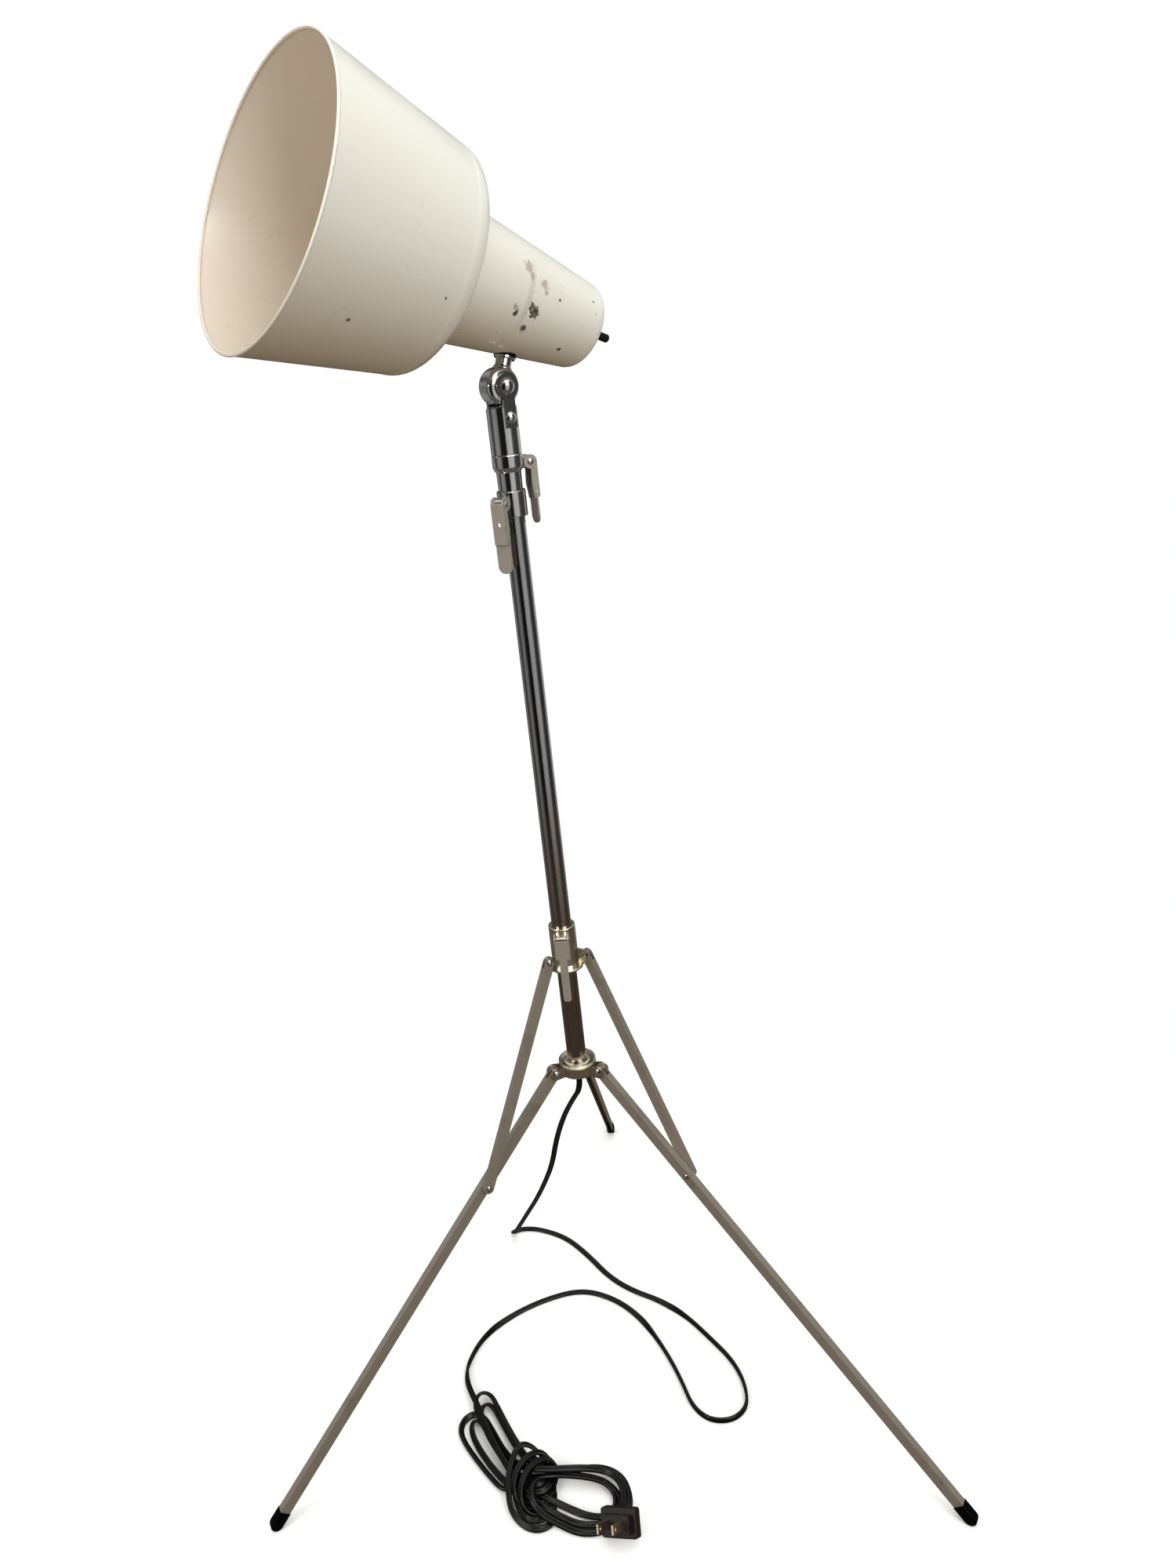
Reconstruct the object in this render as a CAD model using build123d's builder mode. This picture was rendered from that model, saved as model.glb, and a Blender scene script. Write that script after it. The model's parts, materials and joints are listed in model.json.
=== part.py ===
"""Folding tripod photo lamp: a painted bell reflector on a tilting and panning swivel, a three-section
telescoping mast with flip-lever locks, and a folding tripod with a locking slider.

Millimetres, +Z up. The origin is on the floor, on the mast axis. The back leg points along +Y, and the
lamp head looks towards the front left."""
from build123d import *
from math import atan2, cos, degrees, hypot, pi, radians, sin, tan
import os

os.makedirs("parts", exist_ok=True)

# ---------------------------------------------------------------- driving dimensions
LEG_AZIMUTHS = {"left": 210.0, "right": 330.0, "back": 90.0}
FOOT_RADIUS = 315.7          # mast axis to the centre of a foot's rounding
FOOT_ROUND = 5.3             # rounding of a foot cap, so its centre stands this high
HUB_PIVOT_R, HUB_PIVOT_Z = 22.0, 316.6
SLIDER_PIVOT_R, SLIDER_PIVOT_Z = 17.4, 421.2
STRUT_SHARE = 0.2513         # share of the leg's length where the strut is riveted
LEG_WIDTH, LEG_DEPTH, SHEET = 6.0, 9.0, 0.8
STRUT_WIDTH, STRUT_DEPTH = 4.5, 8.6
STRUT_OFFSET = -5.55         # from the leg's middle plane to the strut's, on its anticlockwise side

LOWER_TUBE_R, LOWER_TUBE_BORE = 7.94, 7.15
MIDDLE_TUBE_R, MIDDLE_TUBE_BORE = 6.6, 5.95
UPPER_TUBE_R, UPPER_TUBE_BORE = 5.4, 4.7
LOWER_TUBE_BOTTOM, LOWER_TUBE_TOP = 312.0, 793.0
MIDDLE_TUBE_BOTTOM, UPPER_TUBE_BOTTOM = 350.0, 372.0
COLLAR_A_Z, COLLAR_A_TOP = 793.2, 818.0
FERRULE_TOP, FERRULE_R = 850.2, 10.8

TILT_Z = 864.0               # tilt axis height
HEAD_AZIMUTH, HEAD_TILT = 220.0, 22.0
HEAD_RISE = 58.7             # tilt axis to the head's own axis
MOUTH_Y, MOUTH_R = 188.0, 93.4
SHOULDER_Y, SHOULDER_R, SHOULDER_ROUND = 84.2, 74.6, 15.2
SHADE_BACK_Y = 69.0
HOUSING_FRONT_R, HOUSING_BACK_R, HOUSING_BACK_Y, HOUSING_ROUND = 46.1, 28.9, -60.0, 9.2
PAINTED_SHEET = 1.0
SOCKET_BORE = 13.35          # E26 screw shell, crest of the inside thread

CORD_D = 5.2


# ---------------------------------------------------------------- frames
def direction(azimuth, rise=0.0):
    a, r = radians(azimuth), radians(rise)
    return Vector(cos(r) * cos(a), cos(r) * sin(a), sin(r))


UP = Vector(0, 0, 1)
AIM = direction(HEAD_AZIMUTH, HEAD_TILT)
SIDE = UP.cross(direction(HEAD_AZIMUTH))
RISE = AIM.cross(SIDE)
TILT_CENTRE = Vector(0, 0, TILT_Z)
HEAD_CENTRE = TILT_CENTRE + RISE * HEAD_RISE
HEAD_PLANE = Plane(origin=HEAD_CENTRE, x_dir=RISE, z_dir=SIDE)         # x outward, y forward
HEAD_AXIS = Axis(HEAD_CENTRE, AIM)
NECK_PLANE = Plane(origin=TILT_CENTRE, x_dir=AIM, z_dir=SIDE * -1)     # x forward, y up the neck
NECK_AXIS = Axis(TILT_CENTRE, RISE)


def across(distance):
    """Plane square to the tilt axis, at a distance along it; its y points up."""
    return Plane(origin=TILT_CENTRE + SIDE * distance, x_dir=direction(HEAD_AZIMUTH) * -1, z_dir=SIDE)


def radial(azimuth, offset=0.0, height=0.0):
    """Plane through the mast axis: x outward, y up, z sideways; offset moves it sideways."""
    out = direction(azimuth)
    side = out.cross(UP)
    return Plane(origin=UP * height + side * offset, x_dir=out, z_dir=side)


def head_radial(turn, forward):
    """Plane on the head's axis, facing out of it; turn is from the top towards SIDE."""
    out = RISE * cos(radians(turn)) + SIDE * sin(radians(turn))
    return Plane(origin=HEAD_CENTRE + AIM * forward, x_dir=AIM, z_dir=out)


def save(part, name):
    part.label = name
    export_step(part, f"parts/{name}.step")


def ring(bottom, top, outer, inner):
    """A plain ring or tube on the mast axis, as a private solid."""
    with BuildPart(mode=Mode.PRIVATE) as made:
        with BuildSketch(Plane.XY.offset(bottom)):
            Circle(outer)
            if inner:
                Circle(inner, mode=Mode.SUBTRACT)
        extrude(amount=top - bottom)
    return made.part


# ---------------------------------------------------------------- tripod hub
HUB_R, HUB_BOTTOM, HUB_TOP = 15.6, 311.0, 320.2
EAR_INNER, EAR_OUTER, EAR_R = 3.3, 4.9, 5.0
PIVOT_PIN_R = 2.0

with BuildPart() as hub_body:
    with BuildSketch(Plane.XY.offset(HUB_BOTTOM)):
        Circle(HUB_R)
    extrude(amount=HUB_TOP - HUB_BOTTOM)
    fillet(hub_body.edges().group_by(Axis.Z)[0], 1.6)
    for azimuth in LEG_AZIMUTHS.values():
        for side in (-1, 1):
            ear = radial(azimuth, side * EAR_INNER if side > 0 else -EAR_OUTER)
            with BuildSketch(ear):
                with BuildLine():
                    Polyline((8, HUB_BOTTOM + 0.6), (HUB_PIVOT_R, HUB_PIVOT_Z - EAR_R),
                             (HUB_PIVOT_R, HUB_PIVOT_Z + EAR_R), (HUB_R + 0.6, HUB_TOP), (8, HUB_TOP), close=True)
                make_face()
                with Locations((HUB_PIVOT_R, HUB_PIVOT_Z)):
                    Circle(EAR_R)
            extrude(amount=EAR_OUTER - EAR_INNER)
    for azimuth in LEG_AZIMUTHS.values():
        with BuildSketch(radial(azimuth, -EAR_INNER)):
            with Locations((HUB_PIVOT_R + 8.0, HUB_PIVOT_Z)):
                Rectangle(26.6, 30)
        extrude(amount=2 * EAR_INNER, mode=Mode.SUBTRACT)
        with BuildSketch(radial(azimuth, -EAR_OUTER - 1)):
            with Locations((HUB_PIVOT_R, HUB_PIVOT_Z)):
                Circle(PIVOT_PIN_R)
        extrude(amount=2 * EAR_OUTER + 2, mode=Mode.SUBTRACT)
    with BuildSketch(Plane.XY.offset(LOWER_TUBE_BOTTOM)):
        Circle(LOWER_TUBE_R)
    extrude(amount=20, mode=Mode.SUBTRACT)
    with BuildSketch(Plane.XY.offset(HUB_BOTTOM - 1)):
        Circle(6.0)
    extrude(amount=5, mode=Mode.SUBTRACT)
save(hub_body.part, "hub_body")

with BuildPart() as hub_plate:
    with BuildSketch(Plane.XZ):
        with BuildLine():
            Polyline((LOWER_TUBE_R, HUB_TOP), (15.2, HUB_TOP), (15.6, HUB_TOP + 1.3), (14.6, HUB_TOP + 2.2),
                     (11.0, HUB_TOP + 1.4), (9.6, HUB_TOP + 1.8), (8.9, HUB_TOP + 3.6),
                     (LOWER_TUBE_R, HUB_TOP + 3.6), close=True)
        make_face()
    revolve(axis=Axis.Z)
save(hub_plate.part, "hub_plate")

GROMMET_BOTTOM = 306.4
with BuildPart() as cord_outlet_bush:
    with BuildSketch(Plane.XZ):
        with BuildLine():
            Polyline((2.75, GROMMET_BOTTOM), (5.2, GROMMET_BOTTOM), (7.6, HUB_BOTTOM - 1.6), (7.6, HUB_BOTTOM),
                     (6.0, HUB_BOTTOM), (6.0, LOWER_TUBE_BOTTOM), (2.75, LOWER_TUBE_BOTTOM), close=True)
        make_face()
    revolve(axis=Axis.Z)
save(cord_outlet_bush.part, "cord_outlet_bush")


def rivet_solid(plane, at, radius, start, end, head_r, head_h, heads=(True, True)):
    """A rivet along a plane's z, from start to end, with low domed heads outside them."""
    dome = (head_r ** 2 + head_h ** 2) / (2 * head_h)
    with BuildPart(mode=Mode.PRIVATE) as made:
        with BuildSketch(plane.offset(start)):
            with Locations(at):
                Circle(radius)
        extrude(amount=end - start)
        for use, face, way in ((heads[0], start, -1), (heads[1], end, 1)):
            if not use:
                continue
            centre = plane.offset(face)
            frame = Plane(origin=centre.from_local_coords(Vector(at[0], at[1], 0)),
                          x_dir=plane.x_dir, z_dir=plane.x_dir.cross(plane.z_dir * way))
            with BuildSketch(frame):
                with BuildLine():
                    tip = Line((0, 0), (head_r, 0))
                    RadiusArc(tip @ 1, (0, head_h), -dome)
                    Line((0, head_h), (0, 0))
                make_face()
            revolve(axis=Axis(frame.origin, frame.y_dir))
    return made.part


with BuildPart() as leg_pivot_rivets:
    for azimuth in LEG_AZIMUTHS.values():
        add(rivet_solid(radial(azimuth), (HUB_PIVOT_R, HUB_PIVOT_Z), PIVOT_PIN_R,
                        -EAR_OUTER, EAR_OUTER, 3.4, 1.2))
save(leg_pivot_rivets.part, "leg_pivot_rivets")

# ---------------------------------------------------------------- legs
LEG_RUN, LEG_DROP = FOOT_RADIUS - HUB_PIVOT_R, HUB_PIVOT_Z - FOOT_ROUND
LEG_LENGTH = hypot(LEG_RUN, LEG_DROP)
LEG_ANGLE = degrees(atan2(LEG_RUN, LEG_DROP))          # from straight down
STRUT_AT = STRUT_SHARE * LEG_LENGTH
JOINT_R = HUB_PIVOT_R + LEG_RUN * STRUT_SHARE
JOINT_Z = HUB_PIVOT_Z - LEG_DROP * STRUT_SHARE
STRUT_RUN, STRUT_DROP = JOINT_R - SLIDER_PIVOT_R, SLIDER_PIVOT_Z - JOINT_Z
STRUT_LENGTH = hypot(STRUT_RUN, STRUT_DROP)
STRUT_ANGLE = degrees(atan2(STRUT_RUN, STRUT_DROP))
CAP_LENGTH = 17.0
JOINT_PIN_R = 1.8


def link(azimuth, offset, pivot_r, pivot_z, angle):
    """Frame of a leg or strut: x along it from its top pivot, y to its outer side, z sideways."""
    out = direction(azimuth)
    side = out.cross(UP)
    origin = out * pivot_r + UP * pivot_z + side * offset
    along = out * sin(radians(angle)) - UP * cos(radians(angle))
    return Plane(origin=origin, x_dir=along, z_dir=side)


def channel(frame, length, width, depth, web_from, end_round, holes):
    """A folded U channel along frame's x, its web on the +y side, with round pivot holes."""
    half = width / 2
    with BuildPart(mode=Mode.PRIVATE) as made:
        with BuildSketch(frame.offset(-half)):
            with BuildLine():
                Polyline((0, -depth / 2), (length, -depth / 2), (length, depth / 2), (0, depth / 2), close=True)
            make_face()
            Circle(depth / 2)
            if end_round:
                with Locations((length, 0)):
                    Circle(depth / 2)
        extrude(amount=width)
        with BuildSketch(frame.offset(-half + SHEET)):
            with BuildLine():
                Polyline((-depth, -depth), (length + depth, -depth), (length + depth, depth / 2 - SHEET),
                         (web_from, depth / 2 - SHEET), (web_from, depth), (-depth, depth), close=True)
            make_face()
        extrude(amount=width - 2 * SHEET, mode=Mode.SUBTRACT)
        with BuildSketch(frame.offset(-half - 1)):
            for x, radius in holes:
                with Locations((x, 0)):
                    Circle(radius)
        extrude(amount=width + 2, mode=Mode.SUBTRACT)
    return made.part


def foot_cap(frame):
    """A rubber cap over the leg's end: rounded, a little wider than the channel, hollow inside."""
    start = LEG_LENGTH - CAP_LENGTH + FOOT_ROUND
    with BuildPart(mode=Mode.PRIVATE) as made:
        with BuildSketch(frame.offset(-4.3)):
            with BuildLine():
                Polyline((start, -FOOT_ROUND), (LEG_LENGTH, -FOOT_ROUND), (LEG_LENGTH, FOOT_ROUND),
                         (start, FOOT_ROUND), close=True)
            make_face()
            with Locations((LEG_LENGTH, 0)):
                Circle(FOOT_ROUND)
        extrude(amount=8.6)
        fillet(made.edges().filter_by(GeomType.CIRCLE), 2.2)
        with BuildSketch(frame.offset(-LEG_WIDTH / 2)):
            with Locations(((start + LEG_LENGTH) / 2 - 5, 0)):
                Rectangle(LEG_LENGTH - start + 10, LEG_DEPTH)
        extrude(amount=LEG_WIDTH, mode=Mode.SUBTRACT)
    return made.part


for name, azimuth in LEG_AZIMUTHS.items():
    frame = link(azimuth, 0, HUB_PIVOT_R, HUB_PIVOT_Z, LEG_ANGLE)
    with BuildPart() as leg:
        add(channel(frame, LEG_LENGTH, LEG_WIDTH, LEG_DEPTH, 6.5, False,
                    ((0, PIVOT_PIN_R + 0.05), (STRUT_AT, JOINT_PIN_R))))
    save(leg.part, f"leg_{name}")
    with BuildPart() as cap:
        add(foot_cap(frame))
    save(cap.part, f"foot_cap_{name}")
    with BuildPart() as leg_rivet:
        add(rivet_solid(frame, (STRUT_AT, 0), JOINT_PIN_R, -LEG_WIDTH / 2 + 0.02, LEG_WIDTH / 2,
                        2.7, 0.9, (False, True)))
    save(leg_rivet.part, f"leg_rivet_{name}")

    brace = link(azimuth, STRUT_OFFSET, SLIDER_PIVOT_R, SLIDER_PIVOT_Z, STRUT_ANGLE)
    with BuildPart() as strut:
        add(channel(brace, STRUT_LENGTH, STRUT_WIDTH, STRUT_DEPTH, 5.6, True,
                    ((0, 1.85), (STRUT_LENGTH, JOINT_PIN_R))))
    save(strut.part, f"strut_{name}")
    with BuildPart() as strut_rivet:
        add(rivet_solid(brace, (STRUT_LENGTH, 0), JOINT_PIN_R, -STRUT_WIDTH / 2, STRUT_WIDTH / 2 - 0.02,
                        2.7, 0.9, (True, False)))
    save(strut_rivet.part, f"strut_rivet_{name}")

# ---------------------------------------------------------------- mast
SEAM_AZIMUTH = 276.0
with BuildPart() as lower_tube:
    add(ring(LOWER_TUBE_BOTTOM, LOWER_TUBE_TOP, LOWER_TUBE_R, LOWER_TUBE_BORE))
    with BuildSketch(radial(SEAM_AZIMUTH, -0.2)):
        with Locations((LOWER_TUBE_R, (LOWER_TUBE_TOP + LOWER_TUBE_BOTTOM) / 2)):
            Rectangle(0.5, LOWER_TUBE_TOP - LOWER_TUBE_BOTTOM + 2)
    extrude(amount=0.4, mode=Mode.SUBTRACT)
save(lower_tube.part, "lower_tube")

with BuildPart() as middle_tube:
    add(ring(MIDDLE_TUBE_BOTTOM, COLLAR_A_TOP - 1, MIDDLE_TUBE_R, MIDDLE_TUBE_BORE))
save(middle_tube.part, "middle_tube")

with BuildPart() as middle_guide_bush:
    add(ring(MIDDLE_TUBE_BOTTOM + 2, MIDDLE_TUBE_BOTTOM + 32, LOWER_TUBE_BORE - 0.08, MIDDLE_TUBE_R))
save(middle_guide_bush.part, "middle_guide_bush")

with BuildPart() as upper_tube:
    add(ring(UPPER_TUBE_BOTTOM, FERRULE_TOP - 4, UPPER_TUBE_R, UPPER_TUBE_BORE))
save(upper_tube.part, "upper_tube")

with BuildPart() as upper_guide_bush:
    add(ring(UPPER_TUBE_BOTTOM + 2, UPPER_TUBE_BOTTOM + 27, MIDDLE_TUBE_BORE - 0.08, UPPER_TUBE_R))
save(upper_guide_bush.part, "upper_guide_bush")

INNER_CORD_TOP = 846.0
with BuildPart() as inner_cord:
    add(ring(GROMMET_BOTTOM + 0.05, INNER_CORD_TOP, CORD_D / 2, 0))
save(inner_cord.part, "inner_cord")

with BuildPart() as inner_cord_bush:
    add(ring(838, 846, UPPER_TUBE_BORE, CORD_D / 2))
save(inner_cord_bush.part, "inner_cord_bush")

# ---------------------------------------------------------------- flip levers
LUG_HALF, LUG_R = 3.9, 3.3
LEVER_PIN_R = 1.5


def clamp_lug(azimuth, pivot_r, pivot_z, root_r):
    """The collar's lug that carries a lever's pin, as a private solid with its pin hole."""
    with BuildPart(mode=Mode.PRIVATE) as made:
        with BuildSketch(radial(azimuth, -LUG_HALF)):
            with BuildLine():
                Polyline((root_r, pivot_z - LUG_R), (pivot_r, pivot_z - LUG_R), (pivot_r, pivot_z + LUG_R),
                         (root_r, pivot_z + LUG_R), close=True)
            make_face()
            with Locations((pivot_r, pivot_z)):
                Circle(LUG_R)
                Circle(LEVER_PIN_R, mode=Mode.SUBTRACT)
        extrude(amount=2 * LUG_HALF)
    return made.part


def flip_lever(azimuth, pivot_r, pivot_z, half, reach, tongue_half, tongue_length, inset, hole):
    """A folded sheet lever: a channel head round the lug, then a flat finger tongue."""
    wall, head = 1.1, 5.0
    plane = radial(azimuth, -half, pivot_z)
    tongue_end = -reach - tongue_length
    with BuildPart(mode=Mode.PRIVATE) as made:
        with BuildSketch(plane):
            with BuildLine():
                Polyline((pivot_r, -head), (pivot_r + head, 0), (pivot_r + head, -reach),
                         (pivot_r + head - 4.2, -reach - 1.5), (pivot_r - 0.6, -reach * 0.62), close=True)
            make_face()
            with Locations((pivot_r, 0)):
                Circle(head)
        extrude(amount=2 * half)
        with BuildSketch(plane.offset(wall)):
            with BuildLine():
                Polyline((pivot_r - 12, head + 1), (pivot_r - 12, -reach - 8), (pivot_r + head - wall, -reach - 8),
                         (pivot_r + head - wall, 0), (pivot_r, head + 1), close=True)
            make_face()
            with Locations((pivot_r, 0)):
                Circle(head - wall)
            with Locations((pivot_r, head)):
                Rectangle(3 * head, 2 * head - 1.6)
        extrude(amount=2 * (half - wall), mode=Mode.SUBTRACT)
        face = Plane(origin=plane.from_local_coords(Vector(pivot_r + head - inset, 0, half)),
                     x_dir=plane.z_dir * -1, z_dir=plane.x_dir)
        with BuildSketch(face):
            with Locations((0, (tongue_end - reach * 0.7) / 2)):
                RectangleRounded(2 * tongue_half, -reach * 0.7 - tongue_end, tongue_half - 0.4)
        extrude(amount=1.3)
        with BuildSketch(radial(azimuth, -half - 1)):
            with Locations((pivot_r, pivot_z)):
                Circle(LEVER_PIN_R + 0.05)
        extrude(amount=2 * half + 2, mode=Mode.SUBTRACT)
        if hole:
            with BuildSketch(face):
                with Locations((0, -reach * 0.5)):
                    Circle(1.5)
            extrude(amount=8, mode=Mode.SUBTRACT)
    return made.part


LEVER_A_AZIMUTH, LEVER_A_Z = 30.0, 811.0
LEVER_B_AZIMUTH, LEVER_B_Z = 242.0, 785.5
LEVER_C_AZIMUTH, LEVER_C_Z = 270.0, 441.5
LEVER_R, LEVER_HALF = 15.4, 5.2

with BuildPart() as middle_collar:
    with BuildSketch(Plane.XZ):
        with BuildLine():
            Polyline((MIDDLE_TUBE_R, COLLAR_A_Z), (8.7, COLLAR_A_Z), (8.9, COLLAR_A_Z + 12.6), (10.4, COLLAR_A_Z + 15),
                     (10.9, COLLAR_A_Z + 16.2), (10.9, COLLAR_A_TOP - 0.8), (10.4, COLLAR_A_TOP),
                     (MIDDLE_TUBE_R, COLLAR_A_TOP), close=True)
        make_face()
    revolve(axis=Axis.Z)
    add(clamp_lug(LEVER_A_AZIMUTH, LEVER_R, LEVER_A_Z, 8.0))
    with BuildSketch(Plane.XY.offset(COLLAR_A_TOP - 1)):
        Circle(MIDDLE_TUBE_BORE + 0.1)
    extrude(amount=3, mode=Mode.SUBTRACT)
save(middle_collar.part, "middle_collar")

with BuildPart() as lower_collar:
    with BuildSketch(Plane.XZ):
        with BuildLine():
            Polyline((LOWER_TUBE_R, 774.6), (10.2, 774.6), (10.4, 775.2), (10.4, 792.2), (10.0, LOWER_TUBE_TOP),
                     (LOWER_TUBE_R, LOWER_TUBE_TOP), close=True)
        make_face()
    revolve(axis=Axis.Z)
    add(clamp_lug(LEVER_B_AZIMUTH, LEVER_R, LEVER_B_Z, 8.2))
    with BuildSketch(Plane.XY.offset(770)):
        Circle(LOWER_TUBE_R)
    extrude(amount=30, mode=Mode.SUBTRACT)
save(lower_collar.part, "lower_collar")

LEVERS = {
    "middle_lever": (LEVER_A_AZIMUTH, LEVER_R, LEVER_A_Z, LEVER_HALF, 25.0, 5.6, 19.0, 3.3, False),
    "lower_lever": (LEVER_B_AZIMUTH, LEVER_R, LEVER_B_Z, LEVER_HALF, 28.0, 5.8, 21.0, 3.3, True),
    "slider_lever": (LEVER_C_AZIMUTH, LEVER_R, LEVER_C_Z, LEVER_HALF + 0.6, 15.0, 3.1, 38.0, 1.3, False),
}
for name, shape in LEVERS.items():
    with BuildPart() as lever:
        add(flip_lever(*shape))
    save(lever.part, name)
    azimuth, pivot_r, pivot_z, half = shape[:4]
    with BuildPart() as lever_pin:
        add(rivet_solid(radial(azimuth), (pivot_r, pivot_z), LEVER_PIN_R, -half - 0.15, half + 0.15, 2.3, 0.8))
    save(lever_pin.part, f"{name}_pin")

# ---------------------------------------------------------------- slider
SLIDER_BOTTOM, SLIDER_TOP, SLIDER_R = 412.2, 447.5, 10.7
RING_PLATE_BOTTOM, RING_PLATE_R = 409.6, 14.6
SLIDER_BORE = LOWER_TUBE_R + 0.08

with BuildPart() as slider_sleeve:
    add(ring(SLIDER_BOTTOM, SLIDER_TOP, SLIDER_R, 0))
    fillet(slider_sleeve.edges().group_by(Axis.Z)[-1], 0.8)
    add(clamp_lug(LEVER_C_AZIMUTH, LEVER_R, LEVER_C_Z, 8.2))
    for azimuth in LEG_AZIMUTHS.values():
        with BuildSketch(radial(azimuth, STRUT_OFFSET - 1.25)):
            with BuildLine():
                Polyline((6, SLIDER_BOTTOM), (SLIDER_PIVOT_R - 2, SLIDER_BOTTOM), (SLIDER_PIVOT_R + 3.1, SLIDER_PIVOT_Z),
                         (SLIDER_PIVOT_R, SLIDER_PIVOT_Z + 3.1), (6, SLIDER_PIVOT_Z + 3.1), close=True)
            make_face()
            with Locations((SLIDER_PIVOT_R, SLIDER_PIVOT_Z)):
                Circle(3.1)
                Circle(1.8, mode=Mode.SUBTRACT)
        extrude(amount=2.5)
    with BuildSketch(Plane.XY.offset(SLIDER_BOTTOM - 5)):
        Circle(SLIDER_BORE)
    extrude(amount=60, mode=Mode.SUBTRACT)
save(slider_sleeve.part, "slider_sleeve")

with BuildPart() as slider_ring:
    with BuildSketch(Plane.XZ):
        with BuildLine():
            Polyline((SLIDER_BORE, RING_PLATE_BOTTOM), (13.4, RING_PLATE_BOTTOM), (RING_PLATE_R, RING_PLATE_BOTTOM + 1.1),
                     (RING_PLATE_R, SLIDER_BOTTOM - 0.5), (RING_PLATE_R - 0.5, SLIDER_BOTTOM),
                     (SLIDER_BORE, SLIDER_BOTTOM), close=True)
        make_face()
    revolve(axis=Axis.Z)
    for azimuth in LEG_AZIMUTHS.values():
        with BuildSketch(radial(azimuth, STRUT_OFFSET - STRUT_WIDTH / 2 - 0.5)):
            with Locations((SLIDER_PIVOT_R, SLIDER_BOTTOM)):
                Rectangle(STRUT_DEPTH + 1.4, 12)
        extrude(amount=STRUT_WIDTH + 1, mode=Mode.SUBTRACT)
save(slider_ring.part, "slider_ring")

with BuildPart() as strut_top_rivets:
    for azimuth in LEG_AZIMUTHS.values():
        add(rivet_solid(radial(azimuth, STRUT_OFFSET), (SLIDER_PIVOT_R, SLIDER_PIVOT_Z), 1.8,
                        -STRUT_WIDTH / 2 - 0.1, STRUT_WIDTH / 2 + 0.1, 2.8, 0.9))
save(strut_top_rivets.part, "strut_top_rivets")

# ---------------------------------------------------------------- swivel
EAR_IN, KNUCKLE_HALF, KNUCKLE_R = 8.5, 8.3, 13.2
TILT_SCREW_R = 2.5

with BuildPart() as swivel_ferrule:
    add(ring(COLLAR_A_TOP + 0.3, FERRULE_TOP, FERRULE_R, 0))
    for way in (-1, 1):
        with BuildSketch(across(way * EAR_IN if way > 0 else -FERRULE_R)):
            with Locations((0, -14)):
                Rectangle(9.6, 28)
            Circle(9.0)
        extrude(amount=FERRULE_R - EAR_IN)
    with BuildSketch(Plane.XY.offset(COLLAR_A_TOP - 1)):
        Circle(UPPER_TUBE_R + 0.05)
    extrude(amount=FERRULE_TOP - 3.9 - COLLAR_A_TOP + 1, mode=Mode.SUBTRACT)
    with BuildSketch(across(-20)):
        Circle(TILT_SCREW_R)
        with Locations((0, -21)):
            Circle(2.0)
    extrude(amount=40, mode=Mode.SUBTRACT)
save(swivel_ferrule.part, "swivel_ferrule")

with BuildPart() as ferrule_rivet:
    with BuildSketch(across(UPPER_TUBE_R + 0.1)):
        with Locations((0, -21)):
            Circle(2.0)
    extrude(amount=FERRULE_R - UPPER_TUBE_R - 0.1)
    add(rivet_solid(across(0), (0, -21), 2.0, FERRULE_R - 1, FERRULE_R, 4.3, 2.4, (False, True)))
    with BuildSketch(across(-FERRULE_R)):
        with Locations((0, -21)):
            Circle(2.0)
    extrude(amount=FERRULE_R - UPPER_TUBE_R - 0.1)
    add(rivet_solid(across(0), (0, -21), 2.0, -FERRULE_R, -FERRULE_R + 1, 4.3, 2.4, (True, False)))
save(ferrule_rivet.part, "ferrule_rivets")

NECK_R, NECK_TOP = 5.6, 25.0
with BuildPart() as knuckle:
    with BuildSketch(across(-KNUCKLE_HALF)):
        Circle(KNUCKLE_R)
    extrude(amount=2 * KNUCKLE_HALF)
    fillet(knuckle.edges().filter_by(GeomType.CIRCLE), 4.6)
    with BuildSketch(NECK_PLANE):
        with BuildLine():
            Polyline((0, 4), (6.8, 4), (6.8, 12.4), (NECK_R, 14.2), (NECK_R, 18.6), (7.4, 19.4), (7.4, 20.6),
                     (NECK_R - 0.8, 20.6), (NECK_R - 0.8, NECK_TOP + 6), (0, NECK_TOP + 6), close=True)
        make_face()
    revolve(axis=NECK_AXIS)
    with BuildSketch(NECK_PLANE.offset(0)):
        with BuildLine():
            Polyline((0, 6), (2.75, 6), (2.75, NECK_TOP + 8), (0, NECK_TOP + 8), close=True)
        make_face()
    revolve(axis=NECK_AXIS, mode=Mode.SUBTRACT)
    with BuildSketch(across(-20)):
        Circle(TILT_SCREW_R + 0.05)
    extrude(amount=40, mode=Mode.SUBTRACT)
save(knuckle.part, "knuckle")

with BuildPart() as tilt_screw:
    add(rivet_solid(across(0), (0, 0), TILT_SCREW_R, -FERRULE_R - 3.2, FERRULE_R, 6.0, 3.4, (False, True)))
save(tilt_screw.part, "tilt_screw")

with BuildPart() as tilt_nut:
    with BuildSketch(across(-FERRULE_R - 3.4)):
        RegularPolygon(5.4, 6)
        Circle(TILT_SCREW_R, mode=Mode.SUBTRACT)
    extrude(amount=3.4)
save(tilt_nut.part, "tilt_nut")

# ---------------------------------------------------------------- lamp head
SHADE_RIVET_RING, SHADE_RIVET_R = 43.4, 1.3
SOCKET_SCREW_TURN, SOCKET_SCREW_Y, SOCKET_SCREW_R = 128.0, 9.7, 1.2
CONE_SLOPE = (HOUSING_FRONT_R - HOUSING_BACK_R) / (SHADE_BACK_Y - HOUSING_BACK_Y)


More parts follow.
